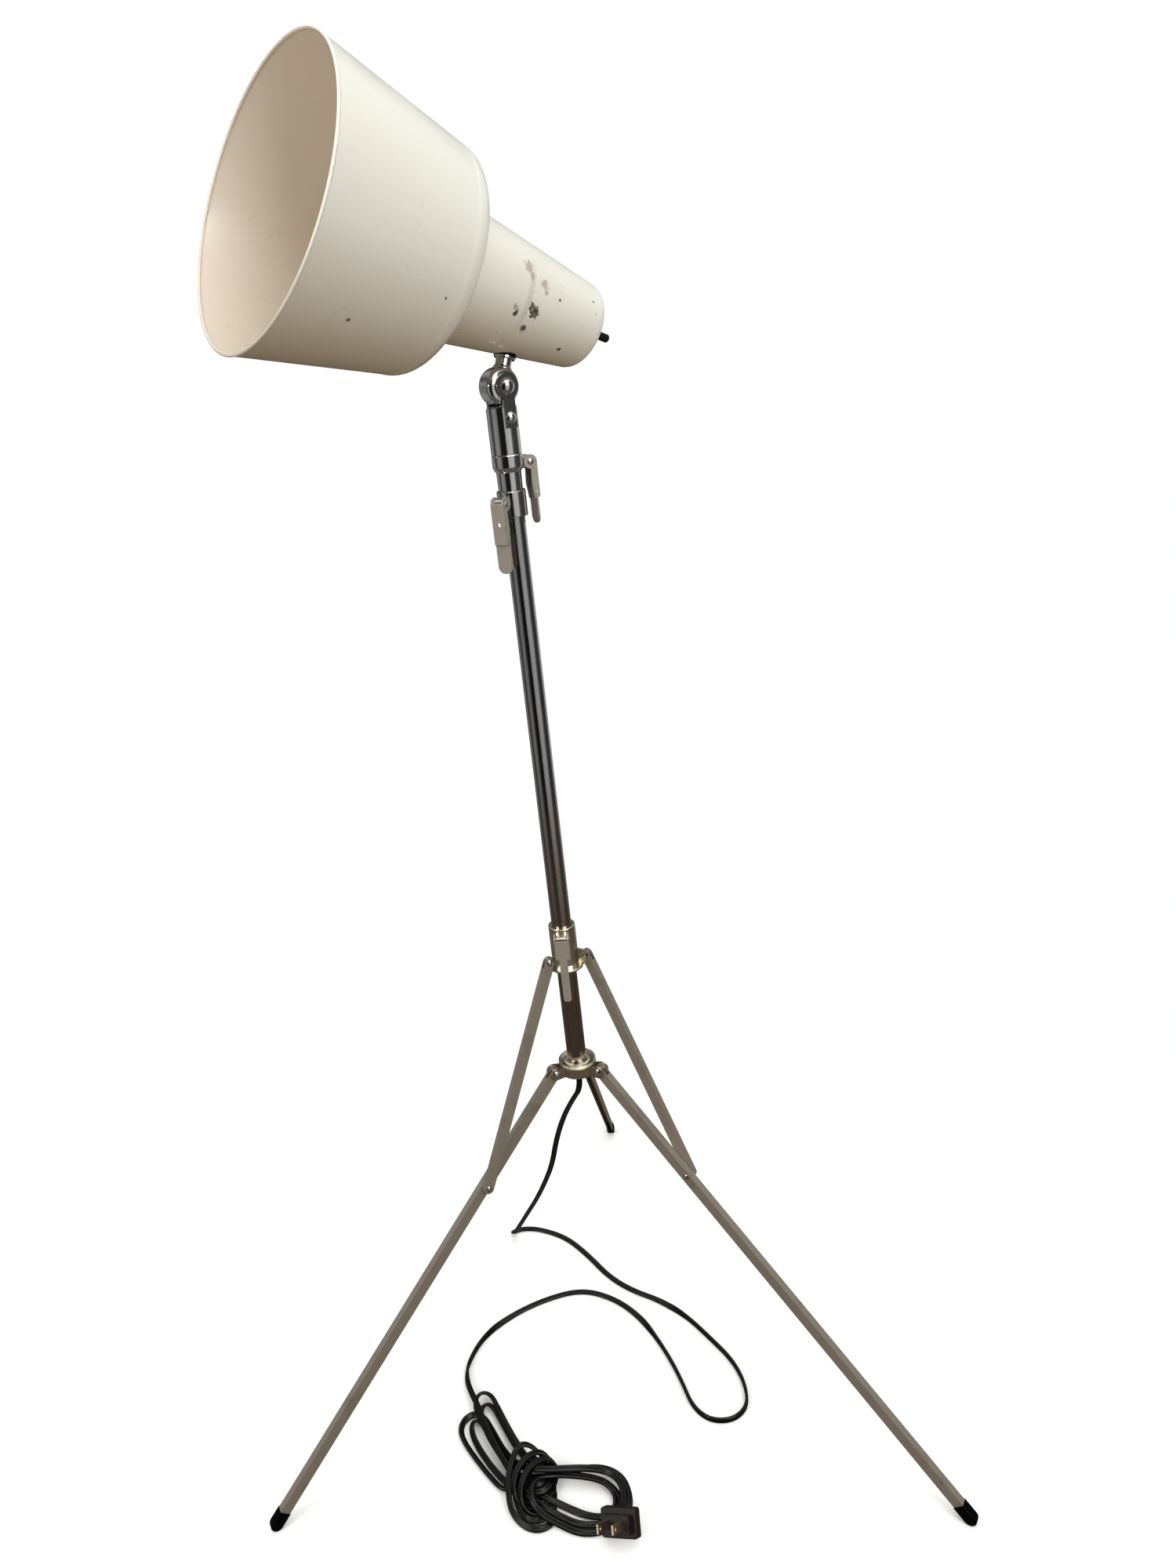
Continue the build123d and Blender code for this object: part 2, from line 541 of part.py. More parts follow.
def housing_r(y, inset=0.0):
    """Housing radius at a distance forward of the neck."""
    return HOUSING_FRONT_R - CONE_SLOPE * (SHADE_BACK_Y - y) - inset


with BuildPart() as reflector_shade:
    with BuildSketch(HEAD_PLANE):
        with BuildLine():
            wall = Line((SHOULDER_R, SHOULDER_Y), (MOUTH_R, MOUTH_Y))
            RadiusArc((SHOULDER_R - SHOULDER_ROUND, SHADE_BACK_Y), (SHOULDER_R, SHOULDER_Y), -SHOULDER_ROUND)
            Polyline((SHOULDER_R - SHOULDER_ROUND, SHADE_BACK_Y), (41.0, SHADE_BACK_Y),
                     (41.0, SHADE_BACK_Y + PAINTED_SHEET), (SHOULDER_R - SHOULDER_ROUND, SHADE_BACK_Y + PAINTED_SHEET))
            RadiusArc((SHOULDER_R - SHOULDER_ROUND, SHADE_BACK_Y + PAINTED_SHEET),
                      (SHOULDER_R - PAINTED_SHEET, SHOULDER_Y), -SHOULDER_ROUND + PAINTED_SHEET)
            Polyline((SHOULDER_R - PAINTED_SHEET, SHOULDER_Y), (MOUTH_R - PAINTED_SHEET, MOUTH_Y), (MOUTH_R, MOUTH_Y))
        make_face()
    revolve(axis=HEAD_AXIS)
    with BuildSketch(HEAD_PLANE):
        with Locations((MOUTH_R - 0.4, MOUTH_Y)):
            Circle(1.1)
    revolve(axis=HEAD_AXIS)
    with BuildSketch(Plane(origin=HEAD_CENTRE + AIM * (SHADE_BACK_Y - 3), x_dir=RISE, z_dir=AIM)):
        with PolarLocations(SHADE_RIVET_RING, 3, 60):
            Circle(SHADE_RIVET_R)
    extrude(amount=6, mode=Mode.SUBTRACT)
save(reflector_shade.part, "reflector_shade")

SHELL = PAINTED_SHEET
SWITCH_HOLE_R = 4.9
with BuildPart() as rear_housing:
    corner_y = HOUSING_BACK_Y + HOUSING_ROUND
    with BuildSketch(HEAD_PLANE):
        with BuildLine():
            Line((HOUSING_FRONT_R, SHADE_BACK_Y), (housing_r(corner_y), corner_y))
            RadiusArc((housing_r(corner_y), corner_y), (housing_r(corner_y) - HOUSING_ROUND, HOUSING_BACK_Y),
                      HOUSING_ROUND)
            Polyline((housing_r(corner_y) - HOUSING_ROUND, HOUSING_BACK_Y), (SWITCH_HOLE_R, HOUSING_BACK_Y),
                     (SWITCH_HOLE_R, HOUSING_BACK_Y + SHELL),
                     (housing_r(corner_y) - HOUSING_ROUND, HOUSING_BACK_Y + SHELL))
            RadiusArc((housing_r(corner_y) - HOUSING_ROUND, HOUSING_BACK_Y + SHELL),
                      (housing_r(corner_y) - SHELL, corner_y), -HOUSING_ROUND + SHELL)
            Polyline((housing_r(corner_y) - SHELL, corner_y), (HOUSING_FRONT_R - SHELL, SHADE_BACK_Y - SHELL),
                     (41.0, SHADE_BACK_Y - SHELL), (41.0, SHADE_BACK_Y), (HOUSING_FRONT_R, SHADE_BACK_Y))
        make_face()
    revolve(axis=HEAD_AXIS)
    with BuildSketch(NECK_PLANE):
        with BuildLine():
            Polyline((0, 8), (NECK_R - 0.8, 8), (NECK_R - 0.8, 40), (0, 40), close=True)
        make_face()
    revolve(axis=NECK_AXIS, mode=Mode.SUBTRACT)
    for turn in (SOCKET_SCREW_TURN, -SOCKET_SCREW_TURN):
        with BuildSketch(head_radial(turn, SOCKET_SCREW_Y)):
            Circle(SOCKET_SCREW_R)
        extrude(amount=60, mode=Mode.SUBTRACT)
    with BuildSketch(Plane(origin=HEAD_CENTRE + AIM * (SHADE_BACK_Y - 3), x_dir=RISE, z_dir=AIM)):
        with PolarLocations(SHADE_RIVET_RING, 3, 60):
            Circle(SHADE_RIVET_R)
    extrude(amount=6, mode=Mode.SUBTRACT)
save(rear_housing.part, "rear_housing")

with BuildPart() as shade_rivets:
    for turn in (60, 180, 300):
        spot = (SHADE_RIVET_RING * cos(radians(turn)), SHADE_RIVET_RING * sin(radians(turn)))
        add(rivet_solid(Plane(origin=HEAD_CENTRE + AIM * SHADE_BACK_Y, x_dir=RISE, z_dir=AIM), spot,
                        SHADE_RIVET_R, -SHELL, PAINTED_SHEET, 1.6, 0.6))
save(shade_rivets.part, "shade_rivets")

# ---------------------------------------------------------------- neck fixings
def turned(points, plane=HEAD_PLANE, axis=HEAD_AXIS):
    """A private solid turned about an axis from (outward, along) points."""
    with BuildPart(mode=Mode.PRIVATE) as made:
        with BuildSketch(plane):
            with BuildLine():
                Polyline(*points, close=True)
            make_face()
        revolve(axis=axis)
    return made.part


housing_outer = turned(((0, -50), (housing_r(-50), -50), (housing_r(60), 60), (0, 60)))
housing_inner = turned(((0, -50), (housing_r(-50, SHELL), -50), (housing_r(60, SHELL), 60), (0, 60)))
BUSHING_R = NECK_R - 0.8
FLANGE_TOP, NUT_BOTTOM, NUT_TOP = 20.6, 25.4, 29.6

with BuildPart() as neck_gasket:
    add(turned(((BUSHING_R, FLANGE_TOP), (7.8, FLANGE_TOP), (7.8, 25), (BUSHING_R, 25)), NECK_PLANE, NECK_AXIS))
    add(housing_outer, mode=Mode.SUBTRACT)
save(neck_gasket.part, "neck_gasket")

with BuildPart() as neck_washer:
    add(turned(((BUSHING_R, 20), (9.4, 20), (9.4, NUT_BOTTOM), (BUSHING_R, NUT_BOTTOM)), NECK_PLANE, NECK_AXIS))
    add(housing_inner, mode=Mode.INTERSECT)
save(neck_washer.part, "neck_washer")

with BuildPart() as neck_nut:
    with BuildSketch(Plane(origin=TILT_CENTRE + RISE * NUT_BOTTOM, x_dir=AIM, z_dir=RISE)):
        RegularPolygon(8.4, 6)
        Circle(BUSHING_R, mode=Mode.SUBTRACT)
    extrude(amount=NUT_TOP - NUT_BOTTOM)
save(neck_nut.part, "neck_nut")

# ---------------------------------------------------------------- lamp socket
SOCKET_R, SOCKET_BACK, SOCKET_FRONT = 19.0, -20.0, 62.0
SHELL_OUTER, SHELL_BACK, SHELL_FRONT = 15.0, 27.0, 61.0
CONTACT_WELL_R, CONTACT_BACK = 12.5, 21.5
with BuildPart() as socket_body:
    add(turned(((0, SOCKET_BACK), (SOCKET_R - 4, SOCKET_BACK), (SOCKET_R - 3, SOCKET_BACK + 1),
                (SOCKET_R - 1.5, 1.5), (SOCKET_R, 3), (SOCKET_R, SOCKET_FRONT - 1.5), (SOCKET_R - 1.5, SOCKET_FRONT),
                (SHELL_OUTER, SOCKET_FRONT), (SHELL_OUTER, SHELL_BACK - 1),
                (CONTACT_WELL_R, SHELL_BACK - 1), (CONTACT_WELL_R, CONTACT_BACK), (0, CONTACT_BACK))))
save(socket_body.part, "socket_body")

with BuildPart() as screw_shell:
    add(turned(((SOCKET_BORE, SHELL_BACK), (SHELL_OUTER, SHELL_BACK), (SHELL_OUTER, SHELL_FRONT),
                (SOCKET_BORE, SHELL_FRONT))))
save(screw_shell.part, "screw_shell")

with BuildPart() as centre_contact:
    add(turned(((0, CONTACT_BACK), (5.0, CONTACT_BACK), (5.0, CONTACT_BACK + 1), (3.2, CONTACT_BACK + 3),
                (0, CONTACT_BACK + 3.6))))
save(centre_contact.part, "centre_contact")

BAND_BACK, BAND_FRONT, BAND_R = 5.0, 14.4, SOCKET_R + 1.2
SCREW_TIP, SCREW_SEAT = 26.5, housing_r(SOCKET_SCREW_Y) + 0.3
with BuildPart() as socket_bracket:
    add(turned(((SOCKET_R, BAND_BACK), (BAND_R, BAND_BACK), (BAND_R, BAND_FRONT), (SOCKET_R, BAND_FRONT))))
    for turn in (SOCKET_SCREW_TURN, -SOCKET_SCREW_TURN):
        arm = head_radial(turn, SOCKET_SCREW_Y)
        with BuildSketch(arm.offset(SOCKET_R + 0.4)):
            Rectangle(BAND_FRONT - BAND_BACK, 8)
        extrude(amount=20)
    add(housing_inner, mode=Mode.INTERSECT)
    for turn in (SOCKET_SCREW_TURN, -SOCKET_SCREW_TURN):
        screw = head_radial(turn, SOCKET_SCREW_Y)
        with BuildSketch(screw.offset(SCREW_TIP)):
            Circle(SOCKET_SCREW_R)
        extrude(amount=SCREW_SEAT - SCREW_TIP)
        with BuildSketch(screw.offset(SCREW_SEAT)):
            Circle(1.9)
        extrude(amount=0.7)
save(socket_bracket.part, "socket_bracket")

# ---------------------------------------------------------------- push switch
SWITCH_BACK, SWITCH_INNER, BUTTON_R, BUTTON_END = -69.0, -38.0, 3.0, -85.0
with BuildPart() as switch_body:
    add(turned(((0, -54.5), (BUTTON_R + 0.1, -54.5), (BUTTON_R + 0.1, SWITCH_BACK), (SWITCH_HOLE_R, SWITCH_BACK),
                (SWITCH_HOLE_R, HOUSING_BACK_Y + SHELL), (10.5, HOUSING_BACK_Y + SHELL), (10.5, SWITCH_INNER),
                (0, SWITCH_INNER))))
save(switch_body.part, "switch_body")

with BuildPart() as switch_nut:
    with BuildSketch(Plane(origin=HEAD_CENTRE + AIM * HOUSING_BACK_Y, x_dir=RISE, z_dir=AIM * -1)):
        RegularPolygon(8.0, 6)
        Circle(SWITCH_HOLE_R, mode=Mode.SUBTRACT)
    extrude(amount=2.6)
save(switch_nut.part, "switch_nut")

with BuildPart() as switch_button:
    with BuildSketch(Plane(origin=HEAD_CENTRE + AIM * -58.6, x_dir=RISE, z_dir=AIM * -1)):
        Circle(BUTTON_R)
    extrude(amount=-58.6 - BUTTON_END)
    fillet(switch_button.edges().sort_by(HEAD_AXIS)[0], 1.4)
save(switch_button.part, "switch_button")

with BuildPart() as socket_leads:
    with BuildSketch(Plane(origin=HEAD_CENTRE + AIM * SWITCH_INNER, x_dir=RISE, z_dir=AIM)):
        with Locations((6, 0), (-6, 0)):
            Circle(1.2)
    extrude(amount=SOCKET_BACK - SWITCH_INNER)
save(socket_leads.part, "socket_leads")

# ---------------------------------------------------------------- cord, hank and plug
FLOOR_Z = CORD_D / 2 + 0.1
CORD_HANG = [(0, 0, GROMMET_BOTTOM), (0, 0, 292), (-9, 13, 272), (-21, 31, 241), (-32, 48, 204), (-40, 60, 168),
             (-51, 77, 134), (-65, 96, 97), (-80, 119, 60), (-93, 138, 28), (-101, 150, 11), (-105, 158, 3.6)]
CORD_FLOOR = [(-95, 163.5), (-77, 162), (-48, 149), (-24, 123), (-3, 94), (20, 75), (48, 61), (72, 40), (92, 14),
              (108, -8), (117, -31), (118, -56), (104, -70), (84, -70), (70, -56), (63, -32), (54, -8), (42, 17),
              (26, 44), (2, 66), (-29, 78), (-64, 68), (-99, 48), (-123, 22), (-134, -8), (-133, -30),
              (-128, -50)]
route = [Vector(*p) for p in CORD_HANG] + [Vector(x, y, FLOOR_Z) for x, y in CORD_FLOOR]
runs = [(b - a).length for a, b in zip(route, route[1:])]
turns = [(b - a).get_angle(c - b) for a, b, c in zip(route, route[1:], route[2:])]
radii = [0.45 * min(before, after) / tan(radians(turn) / 2)
         for before, after, turn in zip(runs, runs[1:], turns)]
print("cord runs", [round(r) for r in runs])
print("cord turns", [round(t) for t in turns])
print("cord radii", [round(r, 1) for r in radii])

with BuildPart() as cord_lead:
    with BuildLine() as path:
        FilletPolyline(*route, radius=radii)
    with BuildSketch(Plane(origin=route[0], z_dir=route[1] - route[0])):
        Circle(CORD_D / 2)
    sweep(path=path.wires()[0])
tube_length = path.wires()[0].length
print("cord tube", round(tube_length), "mm, volume share",
      round(cord_lead.part.volume / (pi * (CORD_D / 2) ** 2 * tube_length), 4))
save(cord_lead.part, "cord_lead")

PLUG_AZIMUTH, PLUG_RISE, PLUG_ROLL = 240.0, 38.0, 21.0
PLUG_CENTRE = Vector(6.0, -169.3, 17.0)
BLADE_GAP, BLADE_LENGTH, BLADE_WIDTH, BLADE_THICK = 12.7, 17.0, 6.35, 1.5
PLUG_WIDE, PLUG_TALL, PLUG_DEEP = 30.0, 20.0, 8.0
NOSE_WIDE, NOSE_TALL, NOSE_DEEP = 24.0, 12.6, 6.0
plug_aim, plug_level = direction(PLUG_AZIMUTH, PLUG_RISE), direction(PLUG_AZIMUTH + 90)
plug_side = plug_level * cos(radians(PLUG_ROLL)) + plug_aim.cross(plug_level) * sin(radians(PLUG_ROLL))
plug_plane = Plane(origin=PLUG_CENTRE, x_dir=plug_side, z_dir=plug_aim)

with BuildPart() as plug_body:
    with BuildSketch(plug_plane.offset(-PLUG_DEEP)):
        RectangleRounded(PLUG_WIDE, PLUG_TALL, 2.0)
    extrude(amount=PLUG_DEEP)
    fillet(plug_body.faces().sort_by(Axis(plug_plane.origin, plug_plane.z_dir))[-1].edges(), 0.8)
    with BuildSketch(plug_plane.offset(-1)):
        RectangleRounded(NOSE_WIDE, NOSE_TALL, 1.5)
    extrude(amount=NOSE_DEEP + 1)
save(plug_body.part, "plug_body")

with BuildPart() as plug_blades:
    with BuildSketch(plug_plane.offset(NOSE_DEEP)):
        with GridLocations(BLADE_GAP, 0, 2, 1):
            Rectangle(BLADE_THICK, BLADE_WIDTH)
    extrude(amount=BLADE_LENGTH)
    with BuildSketch(Plane(origin=PLUG_CENTRE, x_dir=plug_plane.z_dir, z_dir=plug_plane.x_dir)):
        with Locations((NOSE_DEEP + BLADE_LENGTH - 3.6, 0)):
            Circle(1.6)
    extrude(amount=20, both=True, mode=Mode.SUBTRACT)
save(plug_blades.part, "plug_blades")

HANK_CENTRE, HANK_TURN = (-95, -107), -58.2
LOOP_CENTRE, LOOP_TURN = (-29, -138), -4.0
with BuildPart() as cord_hank:
    with BuildSketch(Plane.XY.offset(0.1)):
        with Locations(Location((*HANK_CENTRE, 0), (0, 0, HANK_TURN))):
            SlotCenterToCenter(88, 52)
    extrude(amount=21)
    fillet(cord_hank.faces().sort_by(Axis.Z)[-1].edges(), 9)
    with BuildSketch(Plane.XY.offset(0.1)):
        with Locations(Location((*LOOP_CENTRE, 0), (0, 0, LOOP_TURN))):
            SlotCenterToCenter(58, 42)
    extrude(amount=15)
    entry = route[-1] - route[-2]
    with BuildSketch(Plane(origin=route[-1], z_dir=entry * -1)):
        Rectangle(12, 12)
    extrude(amount=20, mode=Mode.SUBTRACT)
    with BuildSketch(plug_plane.offset(-PLUG_DEEP)):
        Rectangle(PLUG_WIDE, PLUG_TALL)
    extrude(amount=60, mode=Mode.SUBTRACT)
save(cord_hank.part, "cord_hank")
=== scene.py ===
"""Looks of the folding tripod photo lamp. Metres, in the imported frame: +Z up the mast, floor at z = 0."""
import json
from math import cos, radians, sin

import bpy
from mathutils import Matrix, Vector


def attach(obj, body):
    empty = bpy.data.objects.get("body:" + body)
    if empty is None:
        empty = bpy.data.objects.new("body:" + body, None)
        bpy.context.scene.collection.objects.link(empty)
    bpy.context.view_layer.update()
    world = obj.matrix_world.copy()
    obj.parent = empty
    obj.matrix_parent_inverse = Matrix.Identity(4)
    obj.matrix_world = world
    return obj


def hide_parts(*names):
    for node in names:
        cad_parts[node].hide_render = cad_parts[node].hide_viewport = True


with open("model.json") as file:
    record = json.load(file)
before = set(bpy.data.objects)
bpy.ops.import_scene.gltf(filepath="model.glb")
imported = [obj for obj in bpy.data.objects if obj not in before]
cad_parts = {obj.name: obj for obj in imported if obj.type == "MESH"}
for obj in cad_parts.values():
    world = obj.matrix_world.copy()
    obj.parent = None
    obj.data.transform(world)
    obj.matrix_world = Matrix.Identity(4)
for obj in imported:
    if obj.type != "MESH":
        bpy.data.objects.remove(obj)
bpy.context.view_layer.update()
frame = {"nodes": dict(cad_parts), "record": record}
MM = 0.001
UP = Vector((0, 0, 1))

# ---------------------------------------------------------------- the head's own frame
HEAD_RISE = 58.7  # mm from the tilt joint up to the head's own axis
joints = {joint["name"]: joint for joint in frame["record"]["behaviour"]["joints"]}
SIDE = Vector(joints["head_tilt"]["axis"]).normalized()
AIM = Vector(joints["switch_push"]["axis"]).normalized()
RISE = AIM.cross(SIDE).normalized()
HEAD = Vector(joints["head_tilt"]["pos_m"]) + RISE * HEAD_RISE * MM


def on_head(forward, turn, radius):
    """A point on the head: mm along its axis, degrees from its top towards SIDE, mm out from the axis."""
    out = RISE * cos(radians(turn)) + SIDE * sin(radians(turn))
    return HEAD + AIM * forward * MM + out * radius * MM


# ---------------------------------------------------------------- material helpers
def rgba(sockets, name=None):
    """The colour socket among several of the same name on a Mix node."""
    return next(s for s in sockets if s.type == "RGBA" and name in (None, s.name))


def fill_ramp(node, stops):
    """Give a colour ramp its stops, each a position and a colour; the first is at 0."""
    elements = node.color_ramp.elements
    elements.remove(elements[1])
    for place, tint in stops:
        stop = elements[0] if place == 0.0 else elements.new(place)
        stop.position, stop.color = place, (*tint, 1)


class Shader:
    """A Principled material with short helpers for its node graph."""

    def __init__(self, name, color, metallic=0.0, roughness=0.5, **settings):
        self.material = bpy.data.materials.new(name)
        self.material.use_nodes = True
        self.tree = self.material.node_tree
        self.nodes, self.links = self.tree.nodes, self.tree.links
        self.bsdf = self.nodes["Principled BSDF"]
        self.bsdf.inputs["Metallic"].default_value = metallic
        self.bsdf.inputs["Roughness"].default_value = roughness
        self.bsdf.inputs["Base Color"].default_value = (*color, 1)
        for key, value in settings.items():
            self.bsdf.inputs[key.replace("_", " ")].default_value = value
        self.place = self.add("ShaderNodeTexCoord").outputs["Object"]
        self.bump_from = None

    def add(self, kind, **values):
        node = self.nodes.new(kind)
        for key, value in values.items():
            setattr(node, key, value)
        return node

    def join(self, source, node, key):
        if hasattr(source, "is_output"):
            self.links.new(source, node.inputs[key])
        else:
            node.inputs[key].default_value = source

    def stretched(self, x, y, z):
        mapping = self.add("ShaderNodeMapping")
        self.links.new(self.place, mapping.inputs["Vector"])
        mapping.inputs["Scale"].default_value = (x, y, z)
        return mapping.outputs["Vector"]

    def noise(self, scale, detail=3.0, rough=0.55, vector=None):
        node = self.add("ShaderNodeTexNoise")
        self.links.new(vector or self.place, node.inputs["Vector"])
        node.inputs["Scale"].default_value = scale
        node.inputs["Detail"].default_value = detail
        node.inputs["Roughness"].default_value = rough
        return node.outputs["Fac"]

    def spread(self, value, low, high, to_low=0.0, to_high=1.0):
        node = self.add("ShaderNodeMapRange")
        self.links.new(value, node.inputs["Value"])
        for key, number in (("From Min", low), ("From Max", high), ("To Min", to_low), ("To Max", to_high)):
            node.inputs[key].default_value = number
        return node.outputs["Result"]

    def maths(self, operation, a, b=0.0):
        node = self.add("ShaderNodeMath", operation=operation)
        self.join(a, node, 0)
        self.join(b, node, 1)
        return node.outputs["Value"]

    def mix(self, factor, a, b):
        node = self.add("ShaderNodeMix", data_type="RGBA")
        self.join(factor, node, "Factor")
        for key, value in (("A", a), ("B", b)):
            socket = rgba(node.inputs, key)
            if hasattr(value, "is_output"):
                self.links.new(value, socket)
            else:
                socket.default_value = (*value, 1)
        return rgba(node.outputs)

    def distance(self, point):
        node = self.add("ShaderNodeVectorMath", operation="DISTANCE")
        self.links.new(self.place, node.inputs[0])
        node.inputs[1].default_value = point
        return node.outputs["Value"]

    def along(self, origin, direction):
        """Distance from a point along a direction."""
        offset = self.add("ShaderNodeVectorMath", operation="SUBTRACT")
        self.links.new(self.place, offset.inputs[0])
        offset.inputs[1].default_value = origin
        node = self.add("ShaderNodeVectorMath", operation="DOT_PRODUCT")
        self.links.new(offset.outputs["Vector"], node.inputs[0])
        node.inputs[1].default_value = direction
        return node.outputs["Value"]

    def bump(self, height, strength, depth):
        node = self.add("ShaderNodeBump")
        node.inputs["Strength"].default_value = strength
        node.inputs["Distance"].default_value = depth
        self.links.new(height, node.inputs["Height"])
        if self.bump_from is not None:
            self.links.new(self.bump_from, node.inputs["Normal"])
        self.bump_from = node.outputs["Normal"]
        self.links.new(self.bump_from, self.bsdf.inputs["Normal"])

    def color(self, source):
        self.links.new(source, self.bsdf.inputs["Base Color"])

    def rough(self, source):
        self.links.new(source, self.bsdf.inputs["Roughness"])


def plated(name, color, dull, low, high, streak=(1, 1, 1), pits=0.0, stain=(0.32, 0.25, 0.16)):
    """Plated or rolled metal: patchy roughness, fine drawing lines and a little tarnish."""
    made = Shader(name, color, metallic=1.0)
    patch = made.noise(24, 4)
    lines = made.noise(260, 3, 0.6, made.stretched(*streak))
    made.rough(made.spread(made.maths("ADD", patch, made.maths("MULTIPLY", lines, 0.6)), 0.5, 1.1, low, high))
    tarnish = made.spread(made.noise(46, 6, 0.7), 0.56, 0.74, 0.0, dull)
    shade = made.mix(made.spread(patch, 0.35, 0.65, 0.0, 0.35), color, tuple(c * 0.82 for c in color))
    made.color(made.mix(tarnish, shade, stain))
    made.bump(lines, 0.12, 0.0004)
    if pits:
        made.bump(made.spread(made.noise(420, 2), 0.60, 0.68, 1.0, 0.0), pits, 0.0003)
    return made


def assign(material, *nodes):
    for name in nodes:
        data = frame["nodes"][name].data
        data.materials.clear()
        data.materials.append(material)
        for face in data.polygons:
            face.material_index = 0


SPREAD = ("left", "right", "back")

# ---------------------------------------------------------------- metals
leg_metal = plated("leg_nickel", (0.31, 0.275, 0.23), 0.6, 0.26, 0.44, (1, 1, 8), 0.0, (0.17, 0.125, 0.085))
leg_metal.bsdf.inputs["Metallic"].default_value = 0.45
assign(leg_metal.material, *[part + side for part in ("leg_", "strut_") for side in SPREAD])

plate_metal = plated("bright_nickel_plate", (0.66, 0.61, 0.50), 0.30, 0.14, 0.30)
assign(plate_metal.material, "hub_plate", "hub_body", "slider_ring", "slider_sleeve")

tube_metal = plated("tube_chrome", (0.58, 0.58, 0.58), 0.22, 0.05, 0.12, (14, 14, 0.4), 0.10)
assign(tube_metal.material, "middle_tube", "upper_tube")

# the outer tube is browned towards its foot
BROWN_FULL, BROWN_NONE = 0.40, 0.66  # m above the floor
old_tube = plated("browned_tube_chrome", (0.44, 0.44, 0.45), 0.22, 0.05, 0.12, (14, 14, 0.4), 0.10)
along_tube = old_tube.add("ShaderNodeSeparateXYZ")
old_tube.links.new(old_tube.place, along_tube.inputs[0])
browned = old_tube.spread(along_tube.outputs["Z"], BROWN_FULL, BROWN_NONE, 1.0, 0.0)
bright = old_tube.bsdf.inputs["Base Color"].links[0].from_socket
old_tube.color(old_tube.mix(browned, bright, (0.30, 0.25, 0.215)))
assign(old_tube.material, "lower_tube")

swivel_metal = plated("swivel_chrome", (0.66, 0.66, 0.65), 0.15, 0.04, 0.10)
assign(swivel_metal.material, "middle_collar", "lower_collar", "swivel_ferrule", "knuckle", "tilt_screw", "tilt_nut")

rivet_metal = plated("rivet_nickel", (0.70, 0.69, 0.66), 0.18, 0.12, 0.24)
assign(rivet_metal.material, "leg_pivot_rivets", "strut_top_rivets", "shade_rivets", "ferrule_rivets",
       *["leg_rivet_" + side for side in SPREAD], *["strut_rivet_" + side for side in SPREAD])

lever_metal = plated("lever_zinc", (0.37, 0.34, 0.30), 0.6, 0.30, 0.46, (3, 3, 20), 0.15, (0.22, 0.165, 0.12))
lever_metal.bsdf.inputs["Metallic"].default_value = 0.4
assign(lever_metal.material, "middle_lever", "lower_lever", "slider_lever")

zinc = plated("zinc_plate", (0.55, 0.55, 0.53), 0.30, 0.26, 0.42)
assign(zinc.material, "middle_lever_pin", "lower_lever_pin", "slider_lever_pin", "neck_washer", "neck_nut",
       "socket_bracket")

brass = plated("brass_strip", (0.56, 0.46, 0.29), 0.45, 0.28, 0.46, (6, 6, 6), 0.0, (0.30, 0.19, 0.08))
assign(brass.material, "plug_blades", "middle_guide_bush", "upper_guide_bush", "screw_shell", "centre_contact",
       "switch_nut")


# ---------------------------------------------------------------- cream enamel
def inside(made):
    """1 on faces that look towards the head's axis, 0 on the outer ones."""
    offset = made.add("ShaderNodeVectorMath", operation="SUBTRACT")
    made.links.new(made.place, offset.inputs[0])
    offset.inputs[1].default_value = HEAD
    onward = made.add("ShaderNodeVectorMath", operation="SCALE")
    onward.inputs[0].default_value = AIM
    made.links.new(made.along(HEAD, AIM), onward.inputs["Scale"])
    radial = made.add("ShaderNodeVectorMath", operation="SUBTRACT")
    made.links.new(offset.outputs["Vector"], radial.inputs[0])
    made.links.new(onward.outputs["Vector"], radial.inputs[1])
    facing = made.add("ShaderNodeVectorMath", operation="DOT_PRODUCT")
    made.links.new(made.add("ShaderNodeTexCoord").outputs["Normal"], facing.inputs[0])
    made.links.new(radial.outputs["Vector"], facing.inputs[1])
    blur = 0.004
    return made.spread(facing.outputs["Value"], blur, -blur)


